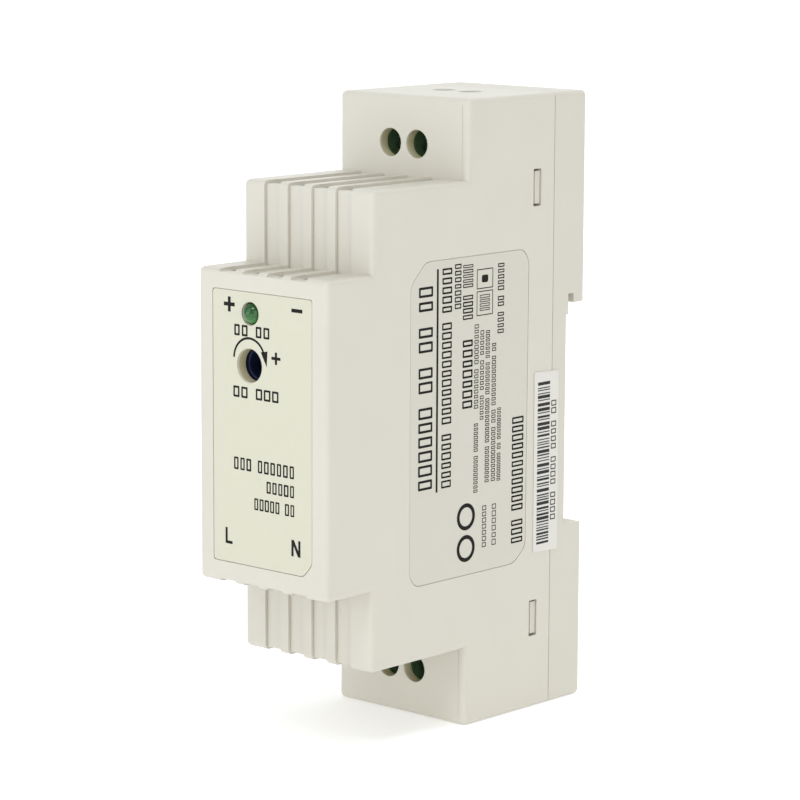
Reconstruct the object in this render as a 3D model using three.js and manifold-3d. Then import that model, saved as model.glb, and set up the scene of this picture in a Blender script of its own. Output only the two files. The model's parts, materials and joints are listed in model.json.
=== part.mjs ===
// DIN rail power supply, narrow stepped case. Units are millimetres.
// Case frame used below: x = 0 is mid width, y = 0 is the front panel, z = 0 is the underside.
// Every mesh is shifted at the end so that the origin is the middle of the rail seat.
import * as THREE from 'three';
import { RoundedBoxGeometry } from 'three/addons/geometries/RoundedBoxGeometry.js';
import { mergeVertices } from 'three/addons/utils/BufferGeometryUtils.js';
import Module from 'manifold-3d';

const wasm = await Module();
wasm.setup();

// ---- driving dimensions --------------------------------------------------------------------
const CASE_HALF_WIDTH = 12.6;
const CASE_HEIGHT = 92.0;
const CASE_DEPTH = 56.2;
const CENTRE_Z = CASE_HEIGHT / 2;
const WALL = 1.7;
const EDGE_RADIUS = 0.8;

const STEP_Y = 9.2;              // nose front to middle step
const BLOCK_Y = 29.4;            // nose front to the terminal blocks' front face
const NOSE_HALF_HEIGHT = 22.6;
const STEP_HALF_HEIGHT = 34.35;
const SEAM_Y = 48.7;             // where the front cover meets the rear base
const SEAM_GAP = 0.08;

const GROOVE_X = [-6.96, -2.32, 2.32, 6.96];
const GROOVE_WIDTH = 3.0;
const GROOVE_DEPTH = 0.5;
const SLOT_WIDTH = 2.5;
const SLOT_LENGTH = 1.4;

const RAIL_FLOOR_Y = 51.8;
const SEAT_Y = 52.3;             // raised pads that the rail's flanges rest on
const NOTCH_LOW_Z = 26.7;
const NOTCH_HIGH_Z = 60.5;
const FLANGE_SLOT_TOP_Z = 61.9;
const FLANGE_SLOT_REAR_Y = 53.55;
const RAIL_Z = 44.3;             // middle of a 35 mm rail in the channel

const POLE_X = [-2.57, 2.57];
const TERMINAL_HALF_WIDTH = 5.3;
const SCREW_FROM_END = 7.05;
const SCREW_HOLE_R = 2.05;
const WIRE_Y = 41.2;
const WIRE_HOLE_R = 1.75;
const TERMINAL_FRONT_Y = 31.4;
const SCREW_HEAD = { front: 33.2, rear: 34.2, radius: 1.95 };
const BOARD_FRONT_Y = 46.4;
const BOARD_REAR_Y = 48.0;

const LAMP = { x: -2.3, z: 62.7, holeRadius: 1.6, domeCentreY: 0.75, domeRadius: 1.5 };
const TRIMMER = { x: -2.45, z: 55.3, holeRadius: 2.38 };

const WINDOW = { y0: 43.9, y1: 45.7, halfHeight: 2.75, fromEnd: 13.7 };

const FRONT_LABEL = { halfWidth: 9.75, z0: 26.5, z1: 65.8, depth: 0.25 };
const SIDE_LABEL = { y0: 17.1, y1: 43.1, z0: 22.7, z1: 69.5, depth: 0.2 };

const LATCH_FRONT_Y = 53.6;
const SPRING = { y: 52.3, z0: 6.05, z1: 15.1, coilRadius: 1.0, wireRadius: 0.18, turns: 6 };

const CONTROL_BOARD = { x0: -7.45, x1: -5.85 };

// ---- helpers -------------------------------------------------------------------------------
const COLOURS = {
  case: ['#dedccf', 0.5, 0],
  base: ['#d9d6c8', 0.5, 0],
  latch: ['#d4d0c0', 0.5, 0],
  label: ['#e4e5d6', 0.45, 0],
  sticker: ['#f4f4f2', 0.5, 0],
  terminalGreen: ['#2f6b3c', 0.5, 0],
  steel: ['#c9cbd0', 0.3, 1],
  brass: ['#c8a85a', 0.3, 1],
  board: ['#2d5b34', 0.6, 0],
  ferrite: ['#3b3b40', 0.6, 0],
  bobbin: ['#2b2b2b', 0.5, 0],
  tape: ['#e3c648', 0.5, 0],
  copper: ['#b56a3a', 0.35, 1],
  sleeve: ['#23252e', 0.4, 0],
  film: ['#d8b23c', 0.5, 0],
  disc: ['#2f62a8', 0.5, 0],
  package: ['#1f1f22', 0.5, 0],
  aluminium: ['#b9bcc2', 0.4, 1],
  lamp: ['#2f9150', 0.25, 0],
  trimmer: ['#1d2f6b', 0.5, 0],
  rotor: ['#e8e8e2', 0.5, 0],
  fuse: ['#4a2f22', 0.5, 0],
  fishPaper: ['#c9cdb4', 0.6, 0],
};

function toSolid(geometry) {
  const plain = geometry.clone();
  plain.deleteAttribute('normal');
  plain.deleteAttribute('uv');
  const merged = mergeVertices(plain, 1e-4);
  const index = merged.index.array;
  const triangles = [];
  for (let i = 0; i < index.length; i += 3) {
    const [a, b, c] = [index[i], index[i + 1], index[i + 2]];
    if (a !== b && b !== c && c !== a) {
      triangles.push(a, b, c);
    }
  }
  return new wasm.Manifold(new wasm.Mesh({
    numProp: 3,
    vertProperties: new Float32Array(merged.attributes.position.array),
    triVerts: new Uint32Array(triangles),
  }));
}

function toGeometry(solid) {
  const mesh = solid.getMesh();
  const geometry = new THREE.BufferGeometry();
  const positions = new Float32Array(mesh.numVert * 3);
  for (let i = 0; i < mesh.numVert; i += 1) {
    for (let k = 0; k < 3; k += 1) {
      positions[i * 3 + k] = mesh.vertProperties[i * mesh.numProp + k];
    }
  }
  geometry.setAttribute('position', new THREE.BufferAttribute(positions, 3));
  geometry.setIndex(new THREE.BufferAttribute(new Uint32Array(mesh.triVerts), 1));
  geometry.computeVertexNormals();
  return geometry;
}

function box([x0, x1], [y0, y1], [z0, z1]) {
  const geometry = new THREE.BoxGeometry(x1 - x0, y1 - y0, z1 - z0);
  geometry.translate((x0 + x1) / 2, (y0 + y1) / 2, (z0 + z1) / 2);
  return toSolid(geometry);
}

function roundedBox([x0, x1], [y0, y1], [z0, z1], radius, segments = 3) {
  const geometry = new RoundedBoxGeometry(x1 - x0, y1 - y0, z1 - z0, segments, radius);
  geometry.translate((x0 + x1) / 2, (y0 + y1) / 2, (z0 + z1) / 2);
  return toSolid(geometry);
}

// profile is a list of [radius, distance along the axis], starting and ending on the axis
function turned(profile, segments = 24) {
  return new THREE.LatheGeometry(profile.map(([r, h]) => new THREE.Vector2(r, h)), segments);
}

function turnedY(profile, x, z, segments) {
  const geometry = turned(profile, segments);
  geometry.translate(x, 0, z);
  return toSolid(geometry);
}

function turnedZ(profile, x, y, segments) {
  const geometry = turned(profile, segments);
  geometry.rotateX(Math.PI / 2);
  geometry.translate(x, y, 0);
  return toSolid(geometry);
}

function turnedX(profile, y, z, segments) {
  const geometry = turned(profile, segments);
  geometry.rotateZ(-Math.PI / 2);
  geometry.translate(0, y, z);
  return toSolid(geometry);
}

const straight = (radius, from, to) => [[0, from], [radius, from], [radius, to], [0, to]];
const cylinderY = (radius, x, z, from, to, n) => turnedY(straight(radius, from, to), x, z, n);
const cylinderZ = (radius, x, y, from, to, n) => turnedZ(straight(radius, from, to), x, y, n);

const join = (first, ...others) => others.reduce((sum, part) => sum.add(part), first);
const cut = (first, ...others) => others.reduce((rest, part) => rest.subtract(part), first);

// outline is a list of [u, v] points; the prism runs along the given axis from a to b
function prism(outline, axis, a, b) {
  const shape = new THREE.Shape(outline.map(([u, v]) => new THREE.Vector2(u, v)));
  const geometry = new THREE.ExtrudeGeometry(shape, { depth: b - a, bevelEnabled: false });
  if (axis === 'x') {
    geometry.rotateX(Math.PI / 2);
    geometry.rotateZ(Math.PI / 2);
    geometry.translate(a, 0, 0);
  } else if (axis === 'y') {
    geometry.rotateX(Math.PI / 2);
    geometry.translate(0, b, 0);
  } else {
    geometry.translate(0, 0, a);
  }
  return toSolid(geometry);
}

// a range of heights measured from the top end, or its mirror image at the bottom end
const fromEnd = (side, near, far) => {
  const range = [CASE_HEIGHT - far, CASE_HEIGHT - near];
  return side > 0 ? range : [near, far];
};
const endHeight = (side, distance) => (side > 0 ? CASE_HEIGHT - distance : distance);

const assembly = new THREE.Group();
assembly.name = 'din_rail_power_supply';

function add(name, solid, [color, roughness, metalness]) {
  const geometry = solid.isBufferGeometry ? solid : toGeometry(solid);
  geometry.translate(0, -SEAT_Y, -RAIL_Z);
  const material = new THREE.MeshStandardMaterial({ color, roughness, metalness });
  const mesh = new THREE.Mesh(geometry, material);
  mesh.name = name;
  assembly.add(mesh);
}

// ---- front cover: stepped moulding with vents, tool holes and label recesses -------------------
const fullWidth = [-CASE_HALF_WIDTH, CASE_HALF_WIDTH];
const halfHeight = (half) => [CENTRE_Z - half, CENTRE_Z + half];

function steppedSolid(inset, radius) {
  const make = radius > 0 ? (x, y, z) => roundedBox(x, y, z, radius) : box;
  const x = [-CASE_HALF_WIDTH + inset, CASE_HALF_WIDTH - inset];
  return join(
    make(x, [BLOCK_Y + inset, 60], halfHeight(CENTRE_Z - inset)),
    make(x, [STEP_Y + inset, 58], halfHeight(STEP_HALF_HEIGHT - inset)),
    make(x, [inset, 56], halfHeight(NOSE_HALF_HEIGHT - inset)),
  );
}

function grooveCutters(x, side) {
  const across = [x - GROOVE_WIDTH / 2, x + GROOVE_WIDTH / 2];
  const slotAcross = [x - SLOT_WIDTH / 2, x + SLOT_WIDTH / 2];
  const noseEnd = CENTRE_Z - NOSE_HALF_HEIGHT;
  const stepEnd = CENTRE_Z - STEP_HALF_HEIGHT;
  const floorY = STEP_Y + GROOVE_DEPTH;
  return [
    box(across, [-1, floorY], fromEnd(side, noseEnd - 2, noseEnd + GROOVE_DEPTH)),
    box(across, [STEP_Y - 1, floorY], fromEnd(side, stepEnd - 1, noseEnd + GROOVE_DEPTH)),
    box(across, [STEP_Y - 1, BLOCK_Y], fromEnd(side, stepEnd - 1, stepEnd + GROOVE_DEPTH)),
    box(slotAcross, [WALL + 0.2, WALL + 0.2 + SLOT_LENGTH], fromEnd(side, noseEnd - 1, noseEnd + 3)),
    box(
      slotAcross,
      [floorY + 1.3, floorY + 1.3 + SLOT_LENGTH],
      fromEnd(side, stepEnd - 1, stepEnd + 3),
    ),
  ];
}

function sideLabelOutline(inset) {
  const y0 = SIDE_LABEL.y0 + inset;
  const y1 = SIDE_LABEL.y1 - inset;
  const z0 = SIDE_LABEL.z0 + inset;
  const z1 = SIDE_LABEL.z1 - inset;
  return [
    [y0 + 1.4, z0], [y1 - 2.8, z0], [y1, z0 + 2.2], [y1, z1 - 1.6],
    [y1 - 1.2, z1], [y0 + 3.1, z1], [y0, z1 - 3.1], [y0, z0 + 1.6],
  ];
}

function frontLabelOutline(inset) {
  const x = FRONT_LABEL.halfWidth - inset;
  const z0 = FRONT_LABEL.z0 + inset;
  const z1 = FRONT_LABEL.z1 - inset;
  return [
    [-x + 0.6, z0], [x - 2.1, z0], [x - 0.6, z0 + 0.7], [x, z0 + 2.1],
    [x, z1 - 0.4], [x - 0.4, z1], [-x + 0.4, z1], [-x, z1 - 0.4], [-x, z0 + 0.6],
  ];
}

function frontCover() {
  const cutters = [
    box([-20, 20], [SEAM_Y, 70], [-5, 100]),
    prism(frontLabelOutline(0), 'y', -1, FRONT_LABEL.depth),
    prism(sideLabelOutline(0), 'x', CASE_HALF_WIDTH - SIDE_LABEL.depth, CASE_HALF_WIDTH + 1),
    cylinderY(LAMP.holeRadius, LAMP.x, LAMP.z, -1, 3, 28),
    cylinderY(TRIMMER.holeRadius, TRIMMER.x, TRIMMER.z, -1, 3, 32),
  ];
  for (const side of [-1, 1]) {
    for (const x of GROOVE_X) {
      cutters.push(...grooveCutters(x, side));
    }
    for (const x of POLE_X) {
      cutters.push(cylinderY(SCREW_HOLE_R, x, endHeight(side, SCREW_FROM_END), 29, 32, 32));
      const z = endHeight(side, 0);
      cutters.push(cylinderZ(WIRE_HOLE_R, x, WIRE_Y, z - 2.5, z + 2.5, 28));
    }
    const windowZ = endHeight(side, WINDOW.fromEnd);
    const windowRange = [windowZ - WINDOW.halfHeight, windowZ + WINDOW.halfHeight];
    cutters.push(box([-15, 15], [WINDOW.y0, WINDOW.y1], windowRange));
  }
  const shell = cut(steppedSolid(0, EDGE_RADIUS), steppedSolid(WALL, 0), ...cutters);
  // ribs on the side walls stop the main board from moving forward
  const ribs = [];
  for (const side of [-1, 1]) {
    for (const x of [[-11, -9.7], [9.7, 11]]) {
      ribs.push(box(x, [BLOCK_Y + 1, BOARD_FRONT_Y - 0.1], fromEnd(side, 8.2, 9.2)));
    }
  }
  return join(shell, ...ribs);
}

// ---- rear base: rail channel, snap tabs, board posts and the latch's guide ---------------------
const innerWidth = [-CASE_HALF_WIDTH + WALL, CASE_HALF_WIDTH - WALL];

function rearBase() {
  const outer = roundedBox(fullWidth, [30, CASE_DEPTH], [0, CASE_HEIGHT], EDGE_RADIUS);
  const shell = cut(
    outer,
    box([-20, 20], [20, SEAM_Y + SEAM_GAP], [-5, 100]),
    box(innerWidth, [40, RAIL_FLOOR_Y - 1.6], [WALL, CASE_HEIGHT - WALL]),
    box(innerWidth, [50, CASE_DEPTH - 1.6], [FLANGE_SLOT_TOP_Z + 1.6, CASE_HEIGHT - WALL]),
    box([-20, 20], [RAIL_FLOOR_Y, 60], [NOTCH_LOW_Z, NOTCH_HIGH_Z]),
    box([-20, 20], [RAIL_FLOOR_Y, FLANGE_SLOT_REAR_Y], [NOTCH_HIGH_Z - 1, FLANGE_SLOT_TOP_Z]),
    box([8.6, 10.9], [50, CASE_DEPTH - 1.6], [WALL, NOTCH_LOW_Z - 1.6]),
    box([-10.9, -8.6], [50, CASE_DEPTH - 1.6], [WALL, NOTCH_LOW_Z - 1.6]),
  );
  const pads = [
    box([-9, 9], [51, SEAT_Y], [NOTCH_LOW_Z - 0.5, FLANGE_SLOT_TOP_Z + 0.5]),
    box(fullWidth, [51, SEAT_Y], [58.8, FLANGE_SLOT_TOP_Z + 0.5]),
  ];
  const guide = [
    box([-6.3, 6.3], [53.45, 60], [-1, NOTCH_LOW_Z + 1]),
    box([-7.4, 7.4], [54.0, 55.2], [-1, 24.6]),
    box([-2.1, 2.1], [50.95, 54], [6, 18.2]),
  ];
  const extras = [];
  for (const side of [-1, 1]) {
    const middle = endHeight(side, WINDOW.fromEnd);
    for (const flip of [-1, 1]) {
      const spanX = (a, b) => (flip > 0 ? [a, b] : [-b, -a]);
      const tongue = [middle - 2.5, middle + 2.5];
      extras.push(box(spanX(9.6, 10.7), [43.0, 52], tongue));
      extras.push(box(spanX(9.6, 11.5), [SEAM_Y + SEAM_GAP, 52], tongue));
      extras.push(prism(
        [[10.6, 44.0], [12.2, 45.5], [10.6, 45.5]].map(([u, v]) => [u * flip, v]),
        'z',
        tongue[0] + 0.1,
        tongue[1] - 0.1,
      ));
      extras.push(box(spanX(7.6, 9.4), [BOARD_REAR_Y + 0.05, 54.8], fromEnd(side, 3.6, 5.4)));
    }
  }
  return join(cut(join(shell, ...pads), ...guide), ...extras);
}

function railLatch() {
  const plate = join(
    box([-6, 6], [LATCH_FRONT_Y, 56.0], [3.0, 27.8]),
    box([-7.1, 7.1], [54.2, 55.0], [4.5, 24.2]),
    box([-1.8, 1.8], [51.3, 54.0], [15.3, 17.6]),
  );
  return cut(
    plate,
    prism([[54.5, 28.0], [57, 28.0], [57, 26.2]], 'x', -7, 7),
    box([-2.5, 2.5], [53, 57], [5.0, 6.8]),
  );
}

function latchSpring() {
  const { y, z0, z1, coilRadius, wireRadius, turns } = SPRING;
  const steps = turns * 10;
  const points = [];
  for (let i = 0; i <= steps; i += 1) {
    const angle = (i / 10) * 2 * Math.PI;
    const height = z0 + wireRadius + (i / steps) * (z1 - z0 - 2 * wireRadius);
    points.push(new THREE.Vector3(coilRadius * Math.cos(angle), y + coilRadius * Math.sin(angle), height));
  }
  const section = new THREE.Shape();
  for (let i = 0; i < 5; i += 1) {
    const angle = (i / 5) * 2 * Math.PI;
    const [u, v] = [wireRadius * Math.cos(angle), wireRadius * Math.sin(angle)];
    if (i === 0) {
      section.moveTo(u, v);
    } else {
      section.lineTo(u, v);
    }
  }
  return toSolid(new THREE.ExtrudeGeometry(section, {
    steps,
    extrudePath: new THREE.CatmullRomCurve3(points),
    bevelEnabled: false,
  }));
}

// ---- screw terminals ---------------------------------------------------------------------------
function terminalHousing(side) {
  const body = box(
    [-TERMINAL_HALF_WIDTH, TERMINAL_HALF_WIDTH],
    [TERMINAL_FRONT_Y, BOARD_FRONT_Y - 0.05],
    fromEnd(side, 2.1, 13.0),
  );
  const cutters = [];
  for (const x of POLE_X) {
    const z = endHeight(side, SCREW_FROM_END);
    const funnel = fromEnd(side, 1.5, 4.6);
    cutters.push(
      cylinderY(2.1, x, z, 30, SCREW_HEAD.rear + 0.1, 24),
      cylinderY(1.5, x, z, 33, 35.5, 20),
      box([x - 2.15, x + 2.15], [34.8, 44.1], fromEnd(side, 4.3, 11.0)),
      cylinderZ(1.85, x, WIRE_Y, funnel[0], funnel[1], 20),
      box([x - 0.75, x + 0.75], [44, 48], fromEnd(side, 9.6, 10.8)),
    );
  }
  return cut(body, ...cutters);
}

function terminalScrew(x, side) {
  const z = endHeight(side, SCREW_FROM_END);
  const profile = [
    [0, SCREW_HEAD.front], [SCREW_HEAD.radius - 0.25, SCREW_HEAD.front],
    [SCREW_HEAD.radius, SCREW_HEAD.front + 0.25], [SCREW_HEAD.radius, SCREW_HEAD.rear],
    [1.25, SCREW_HEAD.rear], [1.25, 38.6], [1.05, 38.8], [0, 38.8],
  ];
  return cut(
    turnedY(profile, x, z, 20),
    box([x - 2.2, x + 2.2], [31, SCREW_HEAD.front + 0.55], [z - 0.32, z + 0.32]),
  );
}

function wireClamp(x, side) {
  const z = endHeight(side, SCREW_FROM_END);
  return cut(
    box([x - 1.9, x + 1.9], [37.2, 43.7], fromEnd(side, 4.8, 9.3)),
    box([x - 1.3, x + 1.3], [38.6, 42.9], [z - 4, z + 4]),
    cylinderY(1.35, x, z, 36, 39, 20),
  );
}

function terminalContact(x, side) {
  return join(
    box([x - 1.1, x + 1.1], [38.9, 39.6], fromEnd(side, 5.0, 10.5)),
    box([x - 0.5, x + 0.5], [39.2, 48.6], fromEnd(side, 9.8, 10.5)),
  );
}

// ---- circuit boards ----------------------------------------------------------------------------
function mainBoard() {
  const board = box([-10.4, 10.4], [BOARD_FRONT_Y, BOARD_REAR_Y], [3, 89]);
  const cutters = [];
  for (const side of [-1, 1]) {
    const notch = fromEnd(side, WINDOW.fromEnd - 3.1, WINDOW.fromEnd + 3.1);
    cutters.push(box([9.3, 12], [44, 50], notch), box([-12, -9.3], [44, 50], notch));
    for (const x of POLE_X) {
      cutters.push(box([x - 0.75, x + 0.75], [44, 50], fromEnd(side, 9.55, 10.75)));
    }
  }
  return cut(board, ...cutters);
}

function controlBoard() {
  const { x0, x1 } = CONTROL_BOARD;
  return cut(
    box([x0, x1], [2.4, 44.0], [26.2, 65.8]),
    box([-9, -5], [1, 4.0], [26, 40]),
  );
}

// ---- wound parts -------------------------------------------------------------------------------
// An E shaped ferrite half; the pair meets around the bobbin.
const TRANSFORMER = { x: 3.4, z: 44.0, halfX: 6.6, halfZ: 9.6, y0: 29.6, y1: 45.6 };

function coreHalf(front) {
  const { x, z, halfZ, y0, y1 } = TRANSFORMER;
  const middle = (y0 + y1) / 2;
  const [a, b] = front ? [y0, middle - 0.05] : [middle + 0.05, y1 - 0.4];
  const windowRange = front ? [a + 2.4, b + 1] : [a - 1, b - 2.4];
  return cut(
    box([x - 2.6, x + 2.6], [a, b], [z - halfZ, z + halfZ]),
    box([x - 4, x + 4], windowRange, [z - halfZ + 2.4, z - 2.6]),
    box([x - 4, x + 4], windowRange, [z + 2.6, z + halfZ - 2.4]),
  );
}

function bobbin() {
  const { x, z, halfX, y0, y1 } = TRANSFORMER;
  const flange = (from, to) => box([x - halfX, x + halfX], [from, to], [z - 6.9, z + 6.9]);
  return cut(
    join(
      box([x - 3.5, x + 3.5], [y0 + 2.7, y1 - 3.1], [z - 3.5, z + 3.5]),
      flange(y0 + 2.7, y0 + 3.5),
      flange(y1 - 3.9, y1 - 3.1),
      box([x - halfX, x - halfX + 1.2], [y1 - 3.5, BOARD_FRONT_Y - 0.05], [z - 6.9, z + 6.9]),
      box([x + halfX - 1.2, x + halfX], [y1 - 3.5, BOARD_FRONT_Y - 0.05], [z - 6.9, z + 6.9]),
    ),
    box([x - 2.9, x + 2.9], [y0, y1], [z - 2.9, z + 2.9]),
  );
}

function sleeveAround(x, z, [y0, y1], innerHalf, outerX, outerZ, radius) {
  return cut(
    roundedBox([x - outerX, x + outerX], [y0 - radius, y1 + radius], [z - outerZ, z + outerZ], radius, 2),
    box([x - innerHalf, x + innerHalf], [y0 - 5, y1 + 5], [z - innerHalf, z + innerHalf]),
    box([x - 20, x + 20], [y0 - 5, y0], [z - 20, z + 20]),
    box([x - 20, x + 20], [y1, y1 + 5], [z - 20, z + 20]),
  );
}

function transformerWinding() {
  const { x, z, y0, y1 } = TRANSFORMER;
  return sleeveAround(x, z, [y0 + 3.6, y1 - 4.0], 3.6, 6.3, 6.6, 1.2);
}

// a can capacitor standing on the main board, with its crimp groove and vent end
function canCapacitor(radius, length, x, z) {
  const foot = BOARD_FRONT_Y - 0.1;
  const top = foot - length;
  return turnedY([
    [0, top + 0.3], [radius - 1.0, top + 0.3], [radius - 0.9, top], [radius - 0.4, top],
    [radius, top + 0.5], [radius, foot - 2.6], [radius - 0.35, foot - 2.1],
    [radius, foot - 1.6], [radius, foot - 0.3], [radius - 0.3, foot], [0, foot],
  ], x, z, 24);
}

// flat power package lying on the heat sink, legs running back to the main board
function powerPackage(x, z) {
  const body = box([x - 5, x + 5], [33.6, 42.4], [z, z + 3.4]);
  const tab = box([x - 5, x + 5], [27.4, 34], [z, z + 1.2]);
  const legs = [-2.54, 2.54].map((dx) => (
    box([x + dx - 0.45, x + dx + 0.45], [42, BOARD_FRONT_Y - 0.1], [z + 1.4, z + 1.9])
  ));
  return cut(join(body, tab, ...legs), cylinderZ(1.75, x, 30.6, z - 1, z + 2, 16));
}

// dual in line package standing off the control board, with its two rows of pins
function dualInLine([y0, y1], [z0, z1], pinsPerRow) {
  const boardX = CONTROL_BOARD.x1 + 0.05;
  const parts = [box([boardX + 0.7, boardX + 3.7], [y0 + 0.8, y1 - 0.8], [z0, z1])];
  for (let i = 0; i < pinsPerRow; i += 1) {
    const z = (z0 + z1) / 2 + (i - (pinsPerRow - 1) / 2) * 2.54;
    parts.push(box([boardX + 1.9, boardX + 2.3], [y0, y1], [z - 0.6, z + 0.6]));
    parts.push(box([boardX, boardX + 2.3], [y0, y0 + 0.35], [z - 0.3, z + 0.3]));
    parts.push(box([boardX, boardX + 2.3], [y1 - 0.35, y1], [z - 0.3, z + 0.3]));
  }
  return join(...parts);
}

// ---- indicator and voltage trimmer -------------------------------------------------------------
function statusLamp() {
  const { x, z } = LAMP;
  const dome = [];
  for (let i = 0; i <= 6; i += 1) {
    const angle = (i / 6) * (Math.PI / 2);
    dome.push([LAMP.domeRadius * Math.sin(angle), LAMP.domeCentreY - LAMP.domeRadius * Math.cos(angle)]);
  }
  const lens = turnedY([...dome, [1.5, 4.4], [1.85, 4.4], [1.85, 5.2], [0, 5.2]], x, z, 24);
  const legs = [-1.27, 1.27].flatMap((dz) => [
    box([x - 0.25, x + 0.25], [5, 8.5], [z + dz - 0.25, z + dz + 0.25]),
    box([CONTROL_BOARD.x1 + 0.05, x + 0.25], [8, 8.5], [z + dz - 0.25, z + dz + 0.25]),
  ]);
  return join(lens, ...legs);
}

function trimmerBody() {
  const { x, z } = TRIMMER;
  const outer = join(
    box([CONTROL_BOARD.x1 + 0.05, x + 3.35], [5.0, 10.4], [z - 3.3, z + 3.3]),
    cylinderY(2.9, x, z, 2.1, 5.5, 28),
  );
  return cut(outer, cylinderY(2.05, x, z, 0, 9.6, 28));
}

function trimmerRotor() {
  const { x, z } = TRIMMER;
  return cut(
    cylinderY(1.9, x, z, 4.1, 9.4, 24),
    box([x - 0.3, x + 0.3], [3, 5.0], [z - 3, z + 3]),
    box([x - 1.2, x + 1.2], [3, 5.0], [z - 0.3, z + 0.3]),
  );
}

// ---- assembly ----------------------------------------------------------------------------------
add('front_cover', frontCover(), COLOURS.case);
add('rear_base', rearBase(), COLOURS.base);
add('rail_latch', railLatch(), COLOURS.latch);
add('latch_spring', latchSpring(), COLOURS.steel);

const frontFilm = cut(
  prism(frontLabelOutline(0.1), 'y', 0.05, FRONT_LABEL.depth - 0.02),
  cylinderY(LAMP.holeRadius + 0.05, LAMP.x, LAMP.z, -1, 1, 28),
  cylinderY(TRIMMER.holeRadius + 0.05, TRIMMER.x, TRIMMER.z, -1, 1, 32),
);
add('front_label', frontFilm, COLOURS.label);
const sideX = CASE_HALF_WIDTH - SIDE_LABEL.depth;
add('side_label', prism(sideLabelOutline(0.12), 'x', sideX + 0.02, sideX + 0.16), COLOURS.label);
const stickerOutline = [[44.6, 23.7], [50.2, 23.5], [50.1, 50.7], [44.5, 50.9]];
add('serial_sticker', prism(stickerOutline, 'x', CASE_HALF_WIDTH + 0.02, CASE_HALF_WIDTH + 0.12),
  COLOURS.sticker);

const TERMINALS = [
  { side: 1, group: 'output', poles: ['positive', 'negative'] },
  { side: -1, group: 'input', poles: ['line', 'neutral'] },
];
for (const { side, group, poles } of TERMINALS) {
  add(`${group}_terminal_block`, terminalHousing(side), COLOURS.terminalGreen);
  poles.forEach((pole, i) => {
    add(`${group}_screw_${pole}`, terminalScrew(POLE_X[i], side), COLOURS.steel);
    add(`${group}_clamp_${pole}`, wireClamp(POLE_X[i], side), COLOURS.steel);
    add(`${group}_contact_${pole}`, terminalContact(POLE_X[i], side), COLOURS.brass);
  });
}

add('main_board', mainBoard(), COLOURS.board);
add('control_board', controlBoard(), COLOURS.board);
add('board_header', join(
  box([-5.8, -3.3], [41.5, 44.0], [29.5, 34.5]),
  box([-5.0, -4.4], [43.8, 48.5], [30.0, 30.6]),
  box([-5.0, -4.4], [43.8, 48.5], [33.4, 34.0]),
).subtract(box([-9, 9], [BOARD_FRONT_Y - 0.1, 60], [28, 36])), COLOURS.package);

add('transformer_core_front', coreHalf(true), COLOURS.ferrite);
add('transformer_core_rear', coreHalf(false), COLOURS.ferrite);
add('transformer_bobbin', bobbin(), COLOURS.bobbin);
add('transformer_winding', transformerWinding(), COLOURS.tape);

add('bulk_capacitor', canCapacitor(5.0, 25, 5.4, 27.6), COLOURS.sleeve);
add('output_capacitor_a', canCapacitor(4.0, 16, 6.2, 59.6), COLOURS.sleeve);
add('output_capacitor_b', canCapacitor(4.0, 16, 6.2, 68.4), COLOURS.sleeve);

add('x_capacitor', roundedBox([-1.4, 8.8], [35.0, 46.2], [14.4, 19.7], 0.5, 2), COLOURS.film);
add(
  'y_capacitor',
  turnedX([[0, -4.6], [3.0, -4.6], [3.6, -3.6], [3.0, -2.6], [0, -2.6]], 42.2, 57.8, 20),
  COLOURS.disc,
);
add(
  'thermistor',
  turnedZ([[0, 20.1], [3.2, 20.1], [3.8, 21.2], [3.2, 22.3], [0, 22.3]], 4.5, 42.0, 20),
  COLOURS.package,
);
add(
  'fuse',
  turnedY([[0, 38.2], [3.8, 38.2], [4.1, 38.5], [4.1, 46.3], [0, 46.3]], -6.0, 20.9, 24),
  COLOURS.fuse,
);
add('output_choke_core', turnedY([
  [0, 37.0], [3.2, 37.0], [3.2, 38.2], [1.6, 38.2], [1.6, 44.8], [3.2, 44.8], [3.2, 46.3], [0, 46.3],
], -2.0, 66.6, 20), COLOURS.ferrite);
add('output_choke_winding', cut(
  cylinderY(2.9, -2.0, 66.6, 38.3, 44.7, 20),
  cylinderY(1.65, -2.0, 66.6, 38, 45, 20),
), COLOURS.copper);
add('bridge_rectifier', join(
  box([-10.3, -7.9], [34.5, 43.0], [29.0, 41.0]),
  ...[30.4, 33.5, 36.5, 39.6].map((z) => (
    box([-9.4, -8.8], [42.5, BOARD_FRONT_Y - 0.1], [z - 0.4, z + 0.4])
  )),
), COLOURS.package);
add('heat_sink', join(
  box([-9.6, 9.6], [24.0, 46.2], [73.0, 74.2]),
  box([8.4, 9.6], [24.0, 46.2], [74, 78.2]),
  box([-9.6, -8.4], [24.0, 46.2], [74, 78.2]),
).subtract(cylinderZ(1.6, -2.6, 30.6, 70, 78, 16)), COLOURS.aluminium);
add('output_diode', powerPackage(-2.6, 74.25), COLOURS.package);
add('heat_sink_screw', turnedZ([
  [0, 71.8], [1.4, 71.8], [1.4, 75.5], [2.6, 75.5], [2.6, 76.6], [1.9, 77.3], [0, 77.3],
], -2.6, 30.6, 20).subtract(box([-3.0, -2.2], [27, 34], [76.5, 78])), COLOURS.steel);
add('switcher_chip', dualInLine([16, 25.2], [37.5, 47.1], 4), COLOURS.package);
add('optocoupler', dualInLine([14, 22.6], [55.0, 59.8], 2), COLOURS.package);
add('auxiliary_capacitor', turnedX([
  [0, -5.75], [2.3, -5.75], [2.5, -5.5], [2.5, -4.5], [2.3, -4.2], [2.5, -3.9],
  [2.5, 4.6], [2.2, 4.9], [0, 4.9],
], 12.5, 32.5, 20), COLOURS.sleeve);
add('insulation_sheet', box([-10.2, 10.2], [49.84, 50.14], [18.2, 73.8]), COLOURS.fishPaper);
add('status_lamp', statusLamp(), COLOURS.lamp);
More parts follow.
